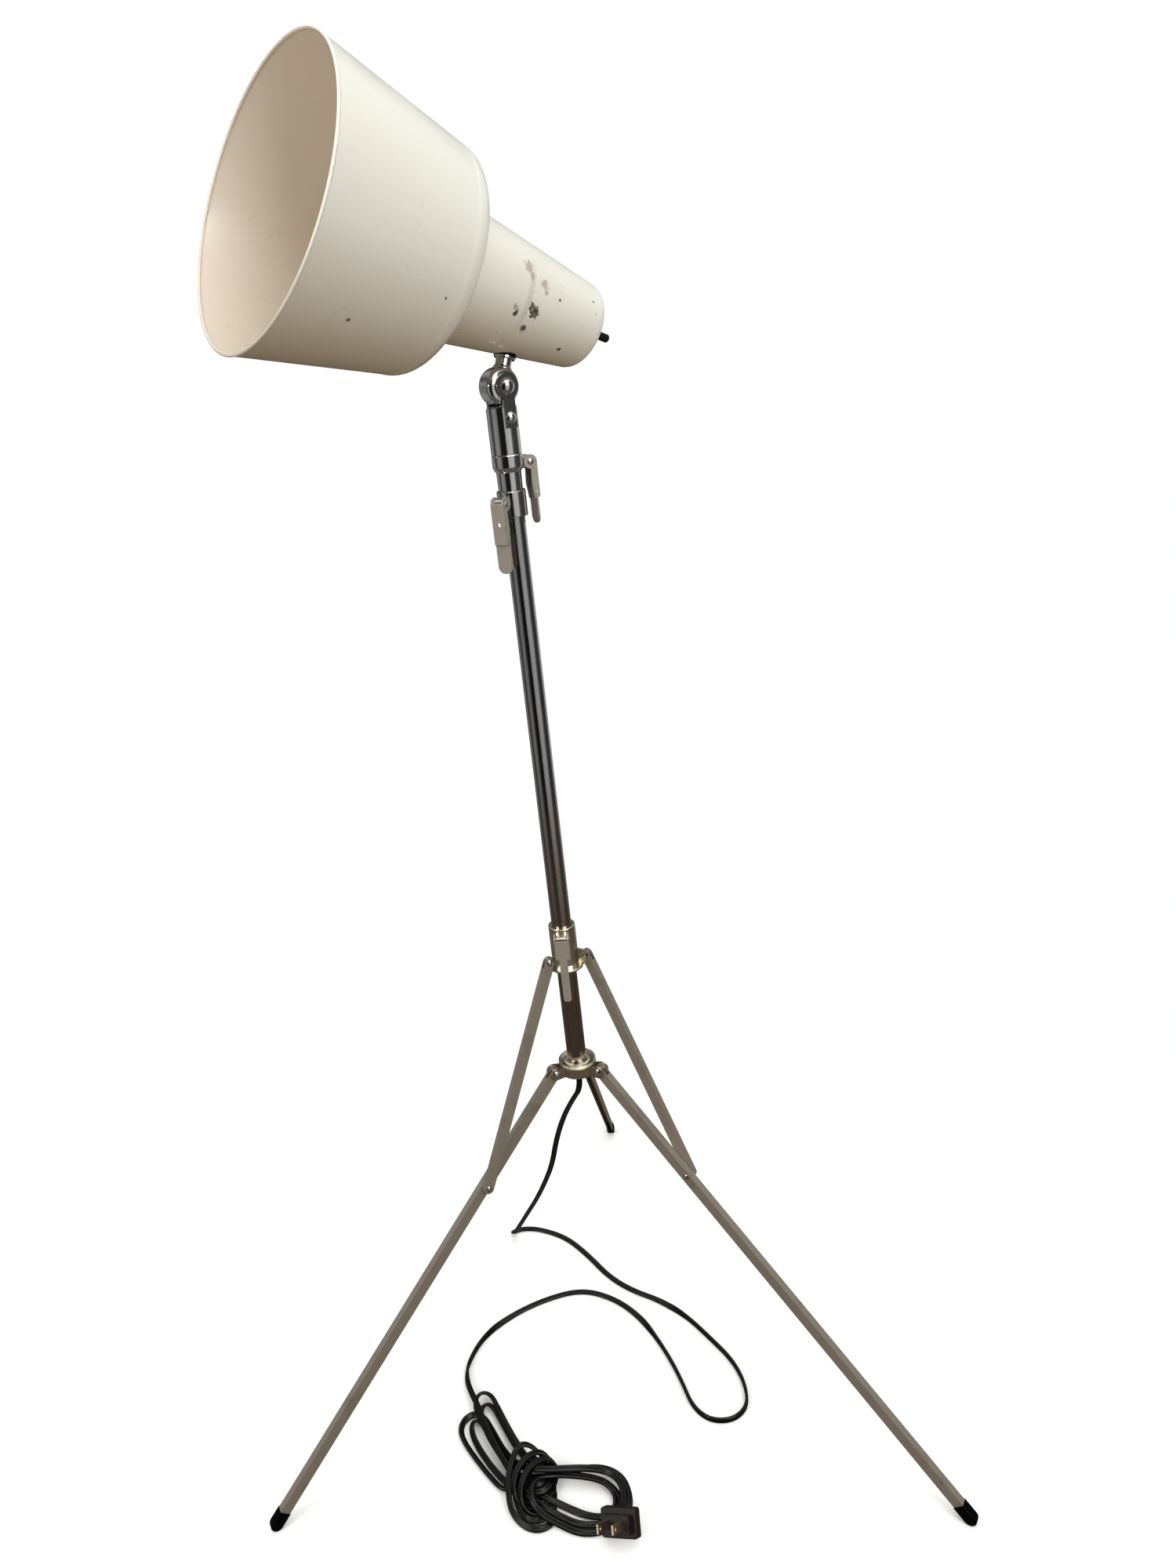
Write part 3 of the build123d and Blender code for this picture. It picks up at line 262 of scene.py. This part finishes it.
def enamel(name, marks, low_shade_from, low_shade_to, pepper, creases=()):
    """Stove enamel: a faint orange peel, slight mottling, painted shade that darkens it to brown low down, flakes
    and soft creases with painted shade along them.

    A mark is mm along the head, degrees round it, its size in mm, how ragged it is, and its tone:
    0 for bare dark steel, 1 for pale undercoat. A crease is mm along the head, degrees, and its reach in mm.
    """
    made = Shader(name, CREAM, roughness=0.30, Coat_Weight=0.25, Coat_Roughness=0.12, Specular_IOR_Level=0.45)
    mottle = made.spread(made.noise(9, 5), 0.35, 0.65, 0.0, 0.6)
    tone = made.mix(mottle, CREAM, tuple(c * k for c, k in zip(CREAM, (0.965, 0.95, 0.92))))
    tone = made.mix(inside(made), tone, (0.775, 0.70, 0.60))
    # painted shade: the paint darkens to brown below the head's axis, as an underside does under light from above
    low = made.along(HEAD, RISE * -1)
    low_shade = made.spread(low, low_shade_from * MM, low_shade_to * MM, 0.0, 0.55)
    tone = made.mix(low_shade, tone, (0.56, 0.49, 0.39))
    # painted shade: a thin dark line where the shade meets the housing
    joint_shade = made.spread(made.maths("ABSOLUTE", made.along(HEAD + AIM * SEAM * MM, AIM)), 0.0004, 0.0016, 0.75, 0.0)
    tone = made.mix(joint_shade, tone, (0.16, 0.12, 0.085))
    for forward, turn, reach in creases:
        line = made.maths("ABSOLUTE", made.along(on_head(forward, turn, 0), AIM))
        away = made.distance(on_head(forward, turn, skin(forward)))
        fade = made.spread(away, reach * MM * 0.4, reach * MM, 0.30, 0.0)
        # the crease is a dent in the bump, and the darkening along it is painted shade
        crease_dent_and_shade = made.maths("MULTIPLY", made.spread(line, 0.0003, 0.0030, 1.0, 0.0), fade)
        tone = made.mix(crease_dent_and_shade, tone, (0.34, 0.29, 0.22))
        made.bump(crease_dent_and_shade, 0.6, -0.0006)
    peppered = made.spread(made.noise(330, 2, 0.4), 0.745, 0.775, 0.0, pepper)
    tone = made.mix(peppered, tone, (0.22, 0.19, 0.16))
    frayed = made.spread(made.noise(360, 4, 0.65), 0.3, 0.7, -1.0, 1.0)
    chipped = peppered
    for forward, turn, size, ragged, pale in marks:
        away = made.distance(on_head(forward, turn, skin(forward)))
        edge = made.maths("ADD", away, made.maths("MULTIPLY", frayed, size * ragged * MM))
        spot = made.spread(edge, size * MM * 0.85, size * MM, 1.0, 0.0)
        bare = made.mix(made.spread(made.noise(300, 3), 0.4, 0.6),
                        (0.42, 0.39, 0.33) if pale else (0.05, 0.042, 0.035),
                        (0.56, 0.52, 0.44) if pale else (0.20, 0.175, 0.14))
        tone = made.mix(spot, tone, bare)
        chipped = made.maths("MAXIMUM", chipped, spot)
    made.color(tone)
    made.rough(made.maths("ADD", made.spread(made.noise(30, 3), 0.3, 0.7, 0.26, 0.38),
                          made.maths("MULTIPLY", chipped, 0.3)))
    made.bump(made.noise(150, 2), 0.06, 0.0005)
    made.bump(chipped, 0.5, -0.0002)
    return made.material


# the painted head's outline: mm along its axis, then the outer radius there
HOUSING_BACK, HOUSING_FRONT = (-60.0, 28.9), (69.0, 46.1)
SHADE_BACK, SHADE_MOUTH = (84.2, 74.6), (188.0, 93.4)


def skin(forward):
    """Outer radius of the painted head at a distance along it."""
    on_shade = forward >= HOUSING_FRONT[0]
    (start, small), (end, large) = (SHADE_BACK, SHADE_MOUTH) if on_shade else (HOUSING_BACK, HOUSING_FRONT)
    return small + (large - small) * (forward - start) / (end - start)


CREAM = (0.80, 0.80, 0.745)
SEAM = 70.0  # mm along the head, where the shade meets the housing
HOUSING_MARKS = [(19, 72, 3.4, 0.8, 1), (15, 80, 2.4, 0.8, 1), (3.5, 82, 3.2, 0.9, 1), (1, 88, 1.6, 0.8, 1),
                 (22, 113, 2.2, 0.9, 1), (21, 118, 1.8, 0.9, 0), (6.5, 110, 4.0, 0.9, 0), (10, 106, 2.4, 0.9, 0),
                 (9.7, 128, 1.3, 0.2, 0), (-29.1, 142, 1.8, 0.6, 0), (-11.8, 89, 1.1, 0.5, 0),
                 (61.6, 105, 1.3, 0.5, 0), (-44, 70, 0.9, 0.5, 0), (40, 215, 1.6, 0.6, 1), (5, 300, 1.3, 0.6, 0)]
SHADE_MARKS = [(146.6, 138.7, 1.5, 0.5, 0), (92, 118, 0.9, 0.5, 0), (168, 262, 0.8, 0.5, 0), (104, 250, 1.2, 0.5, 0)]
assign(enamel("housing_enamel", HOUSING_MARKS, 10, 44, 0.8, [(14, 100, 30)]), "rear_housing")
assign(enamel("shade_enamel", SHADE_MARKS, 20, 96, 0.25), "reflector_shade")


# ---------------------------------------------------------------- rubber, plastics, insulation
def dark(name, color, low, high, grain=180, depth=0.08, **settings):
    made = Shader(name, color, **settings)
    patch = made.noise(40, 4)
    made.rough(made.spread(patch, 0.3, 0.7, low, high))
    dusty = tuple(c * 1.9 + 0.001 for c in color)
    made.color(made.mix(made.spread(made.noise(85, 5, 0.7), 0.45, 0.75), color, dusty))
    made.bump(made.noise(grain, 3), depth, 0.0004)
    return made.material


cap_rubber = dark("cap_rubber", (0.0005, 0.0005, 0.0005), 0.40, 0.60, Specular_IOR_Level=0.06)
assign(cap_rubber, "cord_outlet_bush", "neck_gasket", *["foot_cap_" + side for side in SPREAD])
cord_vinyl = dark("cord_vinyl", (0.0025, 0.0025, 0.0025), 0.20, 0.32, 240, 0.04, Specular_IOR_Level=0.24)
assign(cord_vinyl, "inner_cord")
plug_plastic = dark("plug_plastic", (0.008, 0.005, 0.005), 0.28, 0.42, 320, 0.05, Specular_IOR_Level=0.30)
assign(plug_plastic, "plug_body", "switch_button", "inner_cord_bush")
phenolic = dark("phenolic", (0.045, 0.026, 0.016), 0.38, 0.55)
assign(phenolic, "socket_body", "switch_body")
insulation = dark("lead_insulation", (0.52, 0.50, 0.44), 0.45, 0.60)
assign(insulation, "socket_leads")

# ---------------------------------------------------------------- cord: lead, hank and the run to the plug
# x, y, z in millimetres, then the way the flat cord's wide side faces: f lies flat, e stands on edge,
# s leans between the two, h hangs in the open, w is wound across the bundle, p turns into the plug.
CORD_POINTS = [
    (0, 0, 306.4, "h"), (0, 0, 292, "h"), (-9, 13, 272, "h"), (-21, 31, 241, "h"), (-32, 48, 204, "h"),
    (-40, 60, 168, "h"), (-51, 77, 134, "h"), (-65, 96, 97, "h"), (-80, 119, 60, "h"), (-93, 138, 28, "h"),
    (-101, 150, 9, "f"), (-105, 158, 2.0, "f"), (-95, 163.5, 1.6, "f"), (-77, 162, 1.6, "f"), (-48, 149, 1.6, "f"),
    (-24, 123, 1.6, "f"), (-3, 94, 1.6, "f"), (20, 75, 1.7, "f"), (48, 61, 2.0, "f"), (72, 40, 2.4, "e"),
    (92, 14, 2.8, "e"), (108, -8, 2.8, "e"), (117, -31, 2.8, "e"), (118, -56, 2.8, "e"), (104, -70, 2.8, "e"),
    (84, -70, 2.8, "e"), (70, -56, 2.8, "e"), (63, -32, 2.8, "e"), (54, -8, 2.8, "e"), (42, 17, 2.6, "e"),
    (26, 44, 2.2, "f"), (2, 66, 1.8, "f"), (-29, 78, 1.6, "f"), (-64, 68, 1.6, "f"), (-99, 48, 1.7, "f"),
    (-123, 22, 2.3, "e"), (-134, -8, 3.0, "e"),
    # into the hank, over its left loops
    (-132, -26, 4, "s"), (-125, -43, 8, "s"), (-116, -61, 12, "s"), (-107, -82, 14, "s"), (-95, -104, 14, "s"),
    (-82, -123, 12, "s"), (-71, -137, 10, "s"), (-58, -147, 8, "s"),
    # first right loop, out towards the plug and back
    (-43, -154, 6, "s"), (-28, -160, 4, "s"), (-14, -160, 2.5, "f"), (-3, -157.5, 2, "f"), (6, -153, 2.2, "f"),
    (8, -144, 2.6, "s"), (5, -134, 4, "s"), (-3, -127, 6, "s"), (-13, -123, 7, "s"), (-28, -121, 8, "s"),
    (-43, -120, 9, "s"), (-56, -117, 10, "s"),
    # tall left loop
    (-70, -108, 10, "s"), (-81, -92, 10, "s"), (-91, -75, 10, "s"), (-100, -58, 9, "s"), (-107, -45, 8, "s"),
    (-115, -41, 7.5, "s"), (-121, -46, 7, "s"), (-120, -57, 7, "s"), (-113, -71, 7.5, "s"), (-103, -88, 8, "s"),
    (-92, -105, 8, "s"), (-80, -121, 7, "s"), (-67, -132, 6, "s"),
    # second right loop
    (-54, -138, 5, "s"), (-43, -143, 4, "s"), (-31, -148, 3, "s"), (-20, -152, 2.5, "f"), (-8, -153, 1.6, "f"),
    (1, -149, 1.6, "f"), (4, -141, 3, "s"), (1, -133, 5, "s"), (-7, -128, 8, "s"), (-20, -126, 10, "s"),
    (-35, -126, 12, "s"), (-49, -127, 14, "s"),
    # turned over the top of the knot
    (-60, -131, 17, "s"), (-65, -139, 17, "s"), (-63, -149, 13, "s"), (-54, -156, 8, "s"), (-41, -161, 5, "s"),
    # third right loop
    (-27, -166, 3, "s"), (-14, -166, 2, "f"), (-6, -163, 1.6, "f"), (4, -158, 1.8, "f"), (12, -150, 2.5, "f"),
    (15, -141, 4, "s"), (12, -127, 6, "s"), (4, -119, 8, "s"), (-9, -115, 9, "s"), (-26, -116, 9, "s"),
    (-42, -118, 8, "s"), (-56, -116, 7, "s"),
    # second left loop, then a tight turn in the knot
    (-71, -107, 5, "s"), (-81, -95, 5, "s"), (-90, -80, 5, "s"), (-98, -66, 5, "s"), (-103.5, -56, 5, "s"),
    (-109, -51, 5, "s"), (-114, -53, 5, "s"), (-115.5, -60, 5, "s"), (-111, -72, 5, "s"), (-103, -85, 5, "s"),
    (-94, -98, 5, "s"), (-83, -112, 5, "s"), (-72, -124, 4, "s"), (-60, -137, 4, "f"), (-50, -137, 4, "f"),
    (-47, -128, 4, "f"), (-54, -119, 4, "f"),
    # low left loop
    (-70, -121, 4, "f"), (-84, -115, 4, "s"), (-95, -100, 4, "s"), (-105, -85, 4, "s"), (-111.5, -72, 4, "s"),
    (-116, -66.5, 4, "s"), (-121.5, -67.5, 4, "s"), (-122.5, -74.5, 4, "s"), (-118, -86, 4, "s"),
    (-109, -100, 4, "s"), (-97, -115, 4, "s"), (-85, -127, 4, "s"), (-76, -137, 4, "f"), (-63, -142, 3, "f"),
    (-52, -136, 2, "f"), (-49, -123, 3, "w"),
    # two small turns inside the knot
    (-50, -114, 7, "s"), (-60, -110, 8, "s"), (-70, -117, 9, "s"), (-73, -128, 9, "s"), (-66, -137, 9, "s"),
    (-56, -137, 9, "s"), (-49, -130, 9, "s"), (-50, -119, 10, "s"), (-58, -114, 11, "s"), (-67, -119, 11, "s"),
    (-68, -130, 11, "s"), (-60, -133, 11, "s"), (-53, -127, 10, "s"), (-50, -119, 8, "w"),
    # windings round the waist
    (-58, -107, 11, "w"), (-66, -101, 15, "w"), (-75, -100, 17, "w"), (-81, -109, 16, "w"), (-84, -122, 14, "w"),
    (-84, -136, 11, "w"), (-81, -150, 6, "s"), (-71, -160, 3, "s"), (-59, -164, 3, "s"), (-48, -159, 2.4, "f"),
    (-46, -148, 1.8, "f"), (-50, -136, 1.6, "f"), (-51, -122, 2, "f"), (-55, -114, 5, "w"), (-64, -106, 10, "w"),
    (-74, -112, 12, "w"), (-79, -124, 11, "w"), (-79, -138, 8, "w"), (-74, -149, 3, "s"), (-65, -156, 2.6, "s"),
    (-55, -155, 2.4, "f"), (-48, -147, 2, "f"), (-50, -133, 2, "f"), (-50, -121, 3, "w"), (-49, -114, 6, "w"),
    (-52, -108, 12, "w"), (-60, -107, 17, "w"), (-70, -114, 19, "w"), (-77, -124, 18, "w"), (-80, -134, 14, "w"),
    (-77, -143, 7, "w"), (-68, -146, 2.4, "w"), (-57, -141, 1.6, "f"), (-50, -130, 1.6, "f"), (-45, -119, 5, "w"),
    (-47, -113, 12, "w"), (-54, -113, 17, "w"), (-64, -120, 19, "w"), (-71, -130, 18, "w"), (-74, -140, 14, "w"),
    (-71, -149, 7, "w"), (-62, -151, 2.4, "w"), (-51, -145, 1.6, "f"), (-46, -134, 1.6, "f"),
    # outer left loop
    (-52, -124, 2, "f"), (-62, -122, 2, "f"), (-76, -128, 2.4, "s"), (-89, -131, 3, "s"), (-101, -119, 3, "s"),
    (-113, -105, 3, "s"), (-126, -88, 3, "s"), (-132, -76, 3, "s"), (-130, -65, 3, "s"), (-121, -59, 3.5, "s"),
    (-111, -65, 4.5, "s"), (-102, -80, 5.5, "s"), (-92, -98, 8, "s"), (-81, -113, 12, "s"), (-69, -121, 15, "s"),
    (-55, -123, 16, "s"),
    # and out to the plug
    (-38, -121, 14, "s"), (-22, -119, 12, "s"), (-7, -120, 11, "s"), (3, -125, 11, "s"), (9, -134, 11.5, "p"),
    (10, -146, 12, "p"), (9.6, -155, 12.2, "p"), (9.15, -163.8, 12.1, "p"),
]
FLAT_W, FLAT_T = 5.3, 2.7  # mm, the cord's wide and narrow side
CORD_LIFT = 0.2  # mm kept between the cord and the floor
CORE_STEPS, CORE_STEP_ANGLE = 4, 33  # points to each side of a core's outermost one, and degrees between them
LEAN = 0.8  # how far a slanted stretch turns its wide side up
EDGE_REACH = 10  # mm from the middle line to the line that carries the wide side's direction
ACROSS = {"h": Vector((0.92, 0.38, 0)), "e": UP, "w": Vector((-0.60, 0.80, 0)), "p": Vector((0.92, -0.28, 0.28))}


def fitted(points, name):
    """Points read from a smooth NURBS line that given control points guide."""
    line = bpy.data.curves.new(name, "CURVE")
    line.dimensions = "3D"
    spline = line.splines.new("NURBS")
    spline.points.add(len(points) - 1)
    for point, place in zip(spline.points, points):
        point.co = (*place, 1)
    spline.order_u = 3
    spline.use_endpoint_u = True
    spline.resolution_u = 10
    holder = bpy.data.objects.new(name, line)
    bpy.context.scene.collection.objects.link(holder)
    bpy.context.view_layer.update()
    read = bpy.data.meshes.new_from_object(holder)
    places = [vertex.co.copy() for vertex in read.vertices]
    bpy.data.objects.remove(holder)
    bpy.data.curves.remove(line)
    bpy.data.meshes.remove(read)
    return places


def widths(points):
    """The wide side's direction at each control point, kept from flipping over."""
    places = [Vector(point[:3]) for point in points]
    found = []
    for index, (point, place) in enumerate(zip(points, places)):
        run = places[min(index + 1, len(places) - 1)] - places[max(index - 1, 0)]
        if point[3] in "fs":
            wide = UP.cross(run).normalized() + UP * (LEAN if point[3] == "s" else 0.0)
        else:
            wide = ACROSS[point[3]]
        wide = (wide - run * (wide.dot(run) / run.length_squared)).normalized()
        if found and wide.dot(found[-1]) < 0:
            wide = wide * -1
        found.append(wide)
    return places, found


def flat_cord(name, points, material):
    """Flat two-core cord: two round cores side by side, swept along the line."""
    places, wide = widths(points)
    centre = fitted([place * MM for place in places], name + "_line")
    edge = fitted([(place + side * EDGE_REACH) * MM for place, side in zip(places, wide)], name + "_edge")
    core, gap = FLAT_T / 2 * MM, (FLAT_W - FLAT_T) / 2 * MM
    section = []
    for side in (1, -1):
        for step in range(-CORE_STEPS, CORE_STEPS + 1):
            angle = radians(step * CORE_STEP_ANGLE)
            section.append((side * (gap + core * cos(angle)), side * core * sin(angle)))
    verts, faces, count = [], [], len(section)
    last = len(centre) - 1
    across = None
    for index, (middle, out) in enumerate(zip(centre, edge)):
        run = (centre[min(index + 1, last)] - centre[max(index - 1, 0)]).normalized()
        fresh = out - middle
        fresh = fresh - run * fresh.dot(run)
        if fresh.length <= EDGE_REACH * MM / 5:  # too short to trust: carry the last direction on
            fresh = across - run * across.dot(run)
        across = fresh.normalized()
        up = run.cross(across)
        ring = [middle + across * u + up * v for u, v in section]
        lift = UP * max(0.0, CORD_LIFT * MM - min(vert.z for vert in ring))
        middle += lift
        verts += [vert + lift for vert in ring]
    for ring in range(last):
        for k in range(count):
            a, b = ring * count + k, ring * count + (k + 1) % count
            faces.append((a, b, b + count, a + count))
    faces.append(tuple(reversed(range(count))))
    faces.append(tuple(range(last * count, last * count + count)))
    mesh = bpy.data.meshes.new(name)
    mesh.from_pydata(verts, [], faces)
    mesh.shade_smooth()
    mesh.materials.append(material)
    made = bpy.data.objects.new(name, mesh)
    bpy.context.scene.collection.objects.link(made)
    return made, centre


lamp_cord, cord_line = flat_cord("lamp_cord", CORD_POINTS, cord_vinyl)
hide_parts("cord_lead", "cord_hank")
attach(lamp_cord, "base")

# ---------------------------------------------------------------- floor, light and camera
# what bright metal mirrors to each side of the lamp, from left to right: grey card, dark room, light card
CARDS = [(place, (level, level * 0.99, level * 0.97)) for place, level in (
    (0.0, 0.06), (0.04, 0.32), (0.16, 0.26), (0.25, 0.014), (0.58, 0.012), (0.63, 0.48),
    (0.88, 0.66), (0.95, 0.10), (1.0, 0.05))]
FLOOR_HALF = 6  # m from the middle of the floor to its edges
ground = bpy.data.meshes.new("studio_floor")
corners = [(x * FLOOR_HALF, y * FLOOR_HALF, 0) for x, y in ((-1, -1), (1, -1), (1, 1), (-1, 1))]
ground.from_pydata(corners, [], [(0, 1, 2, 3)])
floor = bpy.data.objects.new("studio_floor", ground)
bpy.context.scene.collection.objects.link(floor)
paper = Shader("studio_paper", (0.93, 0.93, 0.93), roughness=0.9, Specular_IOR_Level=0.1)
paper.color(paper.mix(paper.noise(3, 2), (0.925, 0.925, 0.925), (0.94, 0.94, 0.94)))
# the camera sees white paper; reflections and bounces see the darker, warmer room round it
path = paper.add("ShaderNodeLightPath").outputs
room = paper.add("ShaderNodeBsdfDiffuse")
room.inputs["Color"].default_value = (0.27, 0.225, 0.175, 1)
bearing = paper.add("ShaderNodeVectorMath", operation="NORMALIZE")
paper.links.new(paper.place, bearing.inputs[0])
sideways = paper.add("ShaderNodeSeparateXYZ")
paper.links.new(bearing.outputs["Vector"], sideways.inputs[0])
bands = paper.add("ShaderNodeValToRGB")
fill_ramp(bands, CARDS)
paper.links.new(paper.spread(sideways.outputs["X"], -1.0, 1.0), bands.inputs["Fac"])
far = paper.spread(paper.distance((0, 0, 0)), 0.65, 1.5)
mirrored = paper.add("ShaderNodeEmission")
paper.links.new(paper.mix(far, (0.135, 0.108, 0.085), bands.outputs["Color"]), mirrored.inputs["Color"])
bounced = paper.add("ShaderNodeMixShader")
paper.links.new(path["Is Glossy Ray"], bounced.inputs[0])
paper.links.new(room.outputs[0], bounced.inputs[1])
paper.links.new(mirrored.outputs[0], bounced.inputs[2])
glow = paper.add("ShaderNodeEmission")
glow.inputs["Color"].default_value = (1, 1, 1, 1)
fade = paper.add("ShaderNodeMixShader")
paper.links.new(paper.spread(paper.distance((0.05, -0.05, 0)), 0.30, 0.75), fade.inputs[0])
paper.links.new(paper.bsdf.outputs[0], fade.inputs[1])
paper.links.new(glow.outputs[0], fade.inputs[2])
either = paper.add("ShaderNodeMixShader")
paper.links.new(path["Is Camera Ray"], either.inputs[0])
paper.links.new(bounced.outputs[0], either.inputs[1])
paper.links.new(fade.outputs[0], either.inputs[2])
paper.links.new(either.outputs[0], paper.nodes["Material Output"].inputs["Surface"])
ground.materials.append(paper.material)

world = bpy.data.worlds.new("studio")
bpy.context.scene.world = world
world.use_nodes = True
sky, wires = world.node_tree.nodes, world.node_tree.links
dome = sky["Background"]
facing = sky.new("ShaderNodeTexCoord")
height = sky.new("ShaderNodeSeparateXYZ")
wires.new(facing.outputs["Generated"], height.inputs[0])
sight = sky.new("ShaderNodeLightPath")
# the dome from the horizon up: soft for paint and floor, sharp for what bright metal mirrors
soft = ((0.0, (0.13, 0.11, 0.09)), (0.12, (0.17, 0.15, 0.125)), (0.40, (0.42, 0.41, 0.38)),
        (0.70, (0.92, 0.92, 0.88)), (1.0, (1.10, 1.10, 1.05)))
sharp = ((0.0, (0.030, 0.028, 0.026)), (0.30, (0.050, 0.048, 0.045)), (0.50, (0.12, 0.12, 0.115)),
         (0.68, (0.80, 0.80, 0.78)), (1.0, (1.25, 1.25, 1.22)))
tints = sky.new("ShaderNodeMix")
tints.data_type = "RGBA"
wires.new(sight.outputs["Is Glossy Ray"], tints.inputs["Factor"])
for stops, key in ((soft, "A"), (sharp, "B")):
    ramp = sky.new("ShaderNodeValToRGB")
    wires.new(height.outputs["Z"], ramp.inputs["Fac"])
    fill_ramp(ramp, stops)
    wires.new(ramp.outputs["Color"], rgba(tints.inputs, key))
level = sky.new("ShaderNodeMapRange")
level.inputs["From Min"].default_value = -1.0
wires.new(height.outputs["X"], level.inputs["Value"])
cards = sky.new("ShaderNodeValToRGB")
fill_ramp(cards, CARDS)
wires.new(level.outputs["Result"], cards.inputs["Fac"])
CARDS_END, CARDS_FULL = 0.45, 0.25  # the cards fade out between these heights on the dome
mirror_low = sky.new("ShaderNodeMapRange")
mirror_low.inputs["From Min"].default_value = CARDS_END
mirror_low.inputs["From Max"].default_value = CARDS_FULL
wires.new(height.outputs["Z"], mirror_low.inputs["Value"])
both = sky.new("ShaderNodeMath")
both.operation = "MULTIPLY"
wires.new(mirror_low.outputs["Result"], both.inputs[0])
wires.new(sight.outputs["Is Glossy Ray"], both.inputs[1])
carded = sky.new("ShaderNodeMix")
carded.data_type = "RGBA"
wires.new(both.outputs[0], carded.inputs["Factor"])
wires.new(rgba(tints.outputs), rgba(carded.inputs, "A"))
wires.new(cards.outputs["Color"], rgba(carded.inputs, "B"))
wires.new(rgba(carded.outputs), dome.inputs["Color"])
backdrop = sky.new("ShaderNodeBackground")
backdrop.inputs["Color"].default_value = (1, 1, 1, 1)
backdrop.inputs["Strength"].default_value = 1.02
blend = sky.new("ShaderNodeMixShader")
wires.new(sight.outputs["Is Camera Ray"], blend.inputs[0])
wires.new(dome.outputs[0], blend.inputs[1])
wires.new(backdrop.outputs[0], blend.inputs[2])
wires.new(blend.outputs[0], sky["World Output"].inputs["Surface"])
bpy.context.scene.view_settings.view_transform = "Standard"


def lamp(name, place, target, size, power, tint=(1, 1, 1)):
    light = bpy.data.lights.new(name, "AREA")
    light.shape = "RECTANGLE"
    light.size, light.size_y = size
    light.energy = power
    light.color = tint
    made = bpy.data.objects.new(name, light)
    made.location = place
    made.rotation_euler = (Vector(target) - Vector(place)).to_track_quat("-Z", "Y").to_euler()
    made.visible_camera = False
    bpy.context.scene.collection.objects.link(made)


lamp("overhead", (0.5, -0.4, 3.0), (0, 0, 0.4), (2.2, 2.2), 21)
lamp("front_right", (1.5, -1.9, 1.9), (0, 0, 0.9), (1.3, 1.3), 38)
lamp("into_bell", (-1.9, -1.7, 1.75), (-0.06, -0.05, 0.92), (0.8, 0.8), 30, (1, 0.96, 0.90))

# the camera: where it stands and which way its picture's right and top point
CAMERA_PLACE = (0.077513, -0.815201, 0.882582)
view_right = Vector((0.990075, 0.078412, -0.116633))
view_up = Vector((0.086621, 0.313053, 0.945777))
lens = bpy.data.cameras.new("camera")
lens.lens, lens.sensor_width, lens.sensor_fit = 26.095, 36.0, "AUTO"
lens.shift_x, lens.shift_y = 0.0471, -0.0404
lens.clip_start, lens.clip_end = 0.02, 30
camera = bpy.data.objects.new("camera", lens)
bpy.context.scene.collection.objects.link(camera)
toward = view_right.cross(view_up)
turned = Matrix((view_right, view_up, toward)).transposed().to_4x4()
camera.matrix_world = Matrix.Translation(CAMERA_PLACE) @ turned
bpy.context.scene.camera = camera
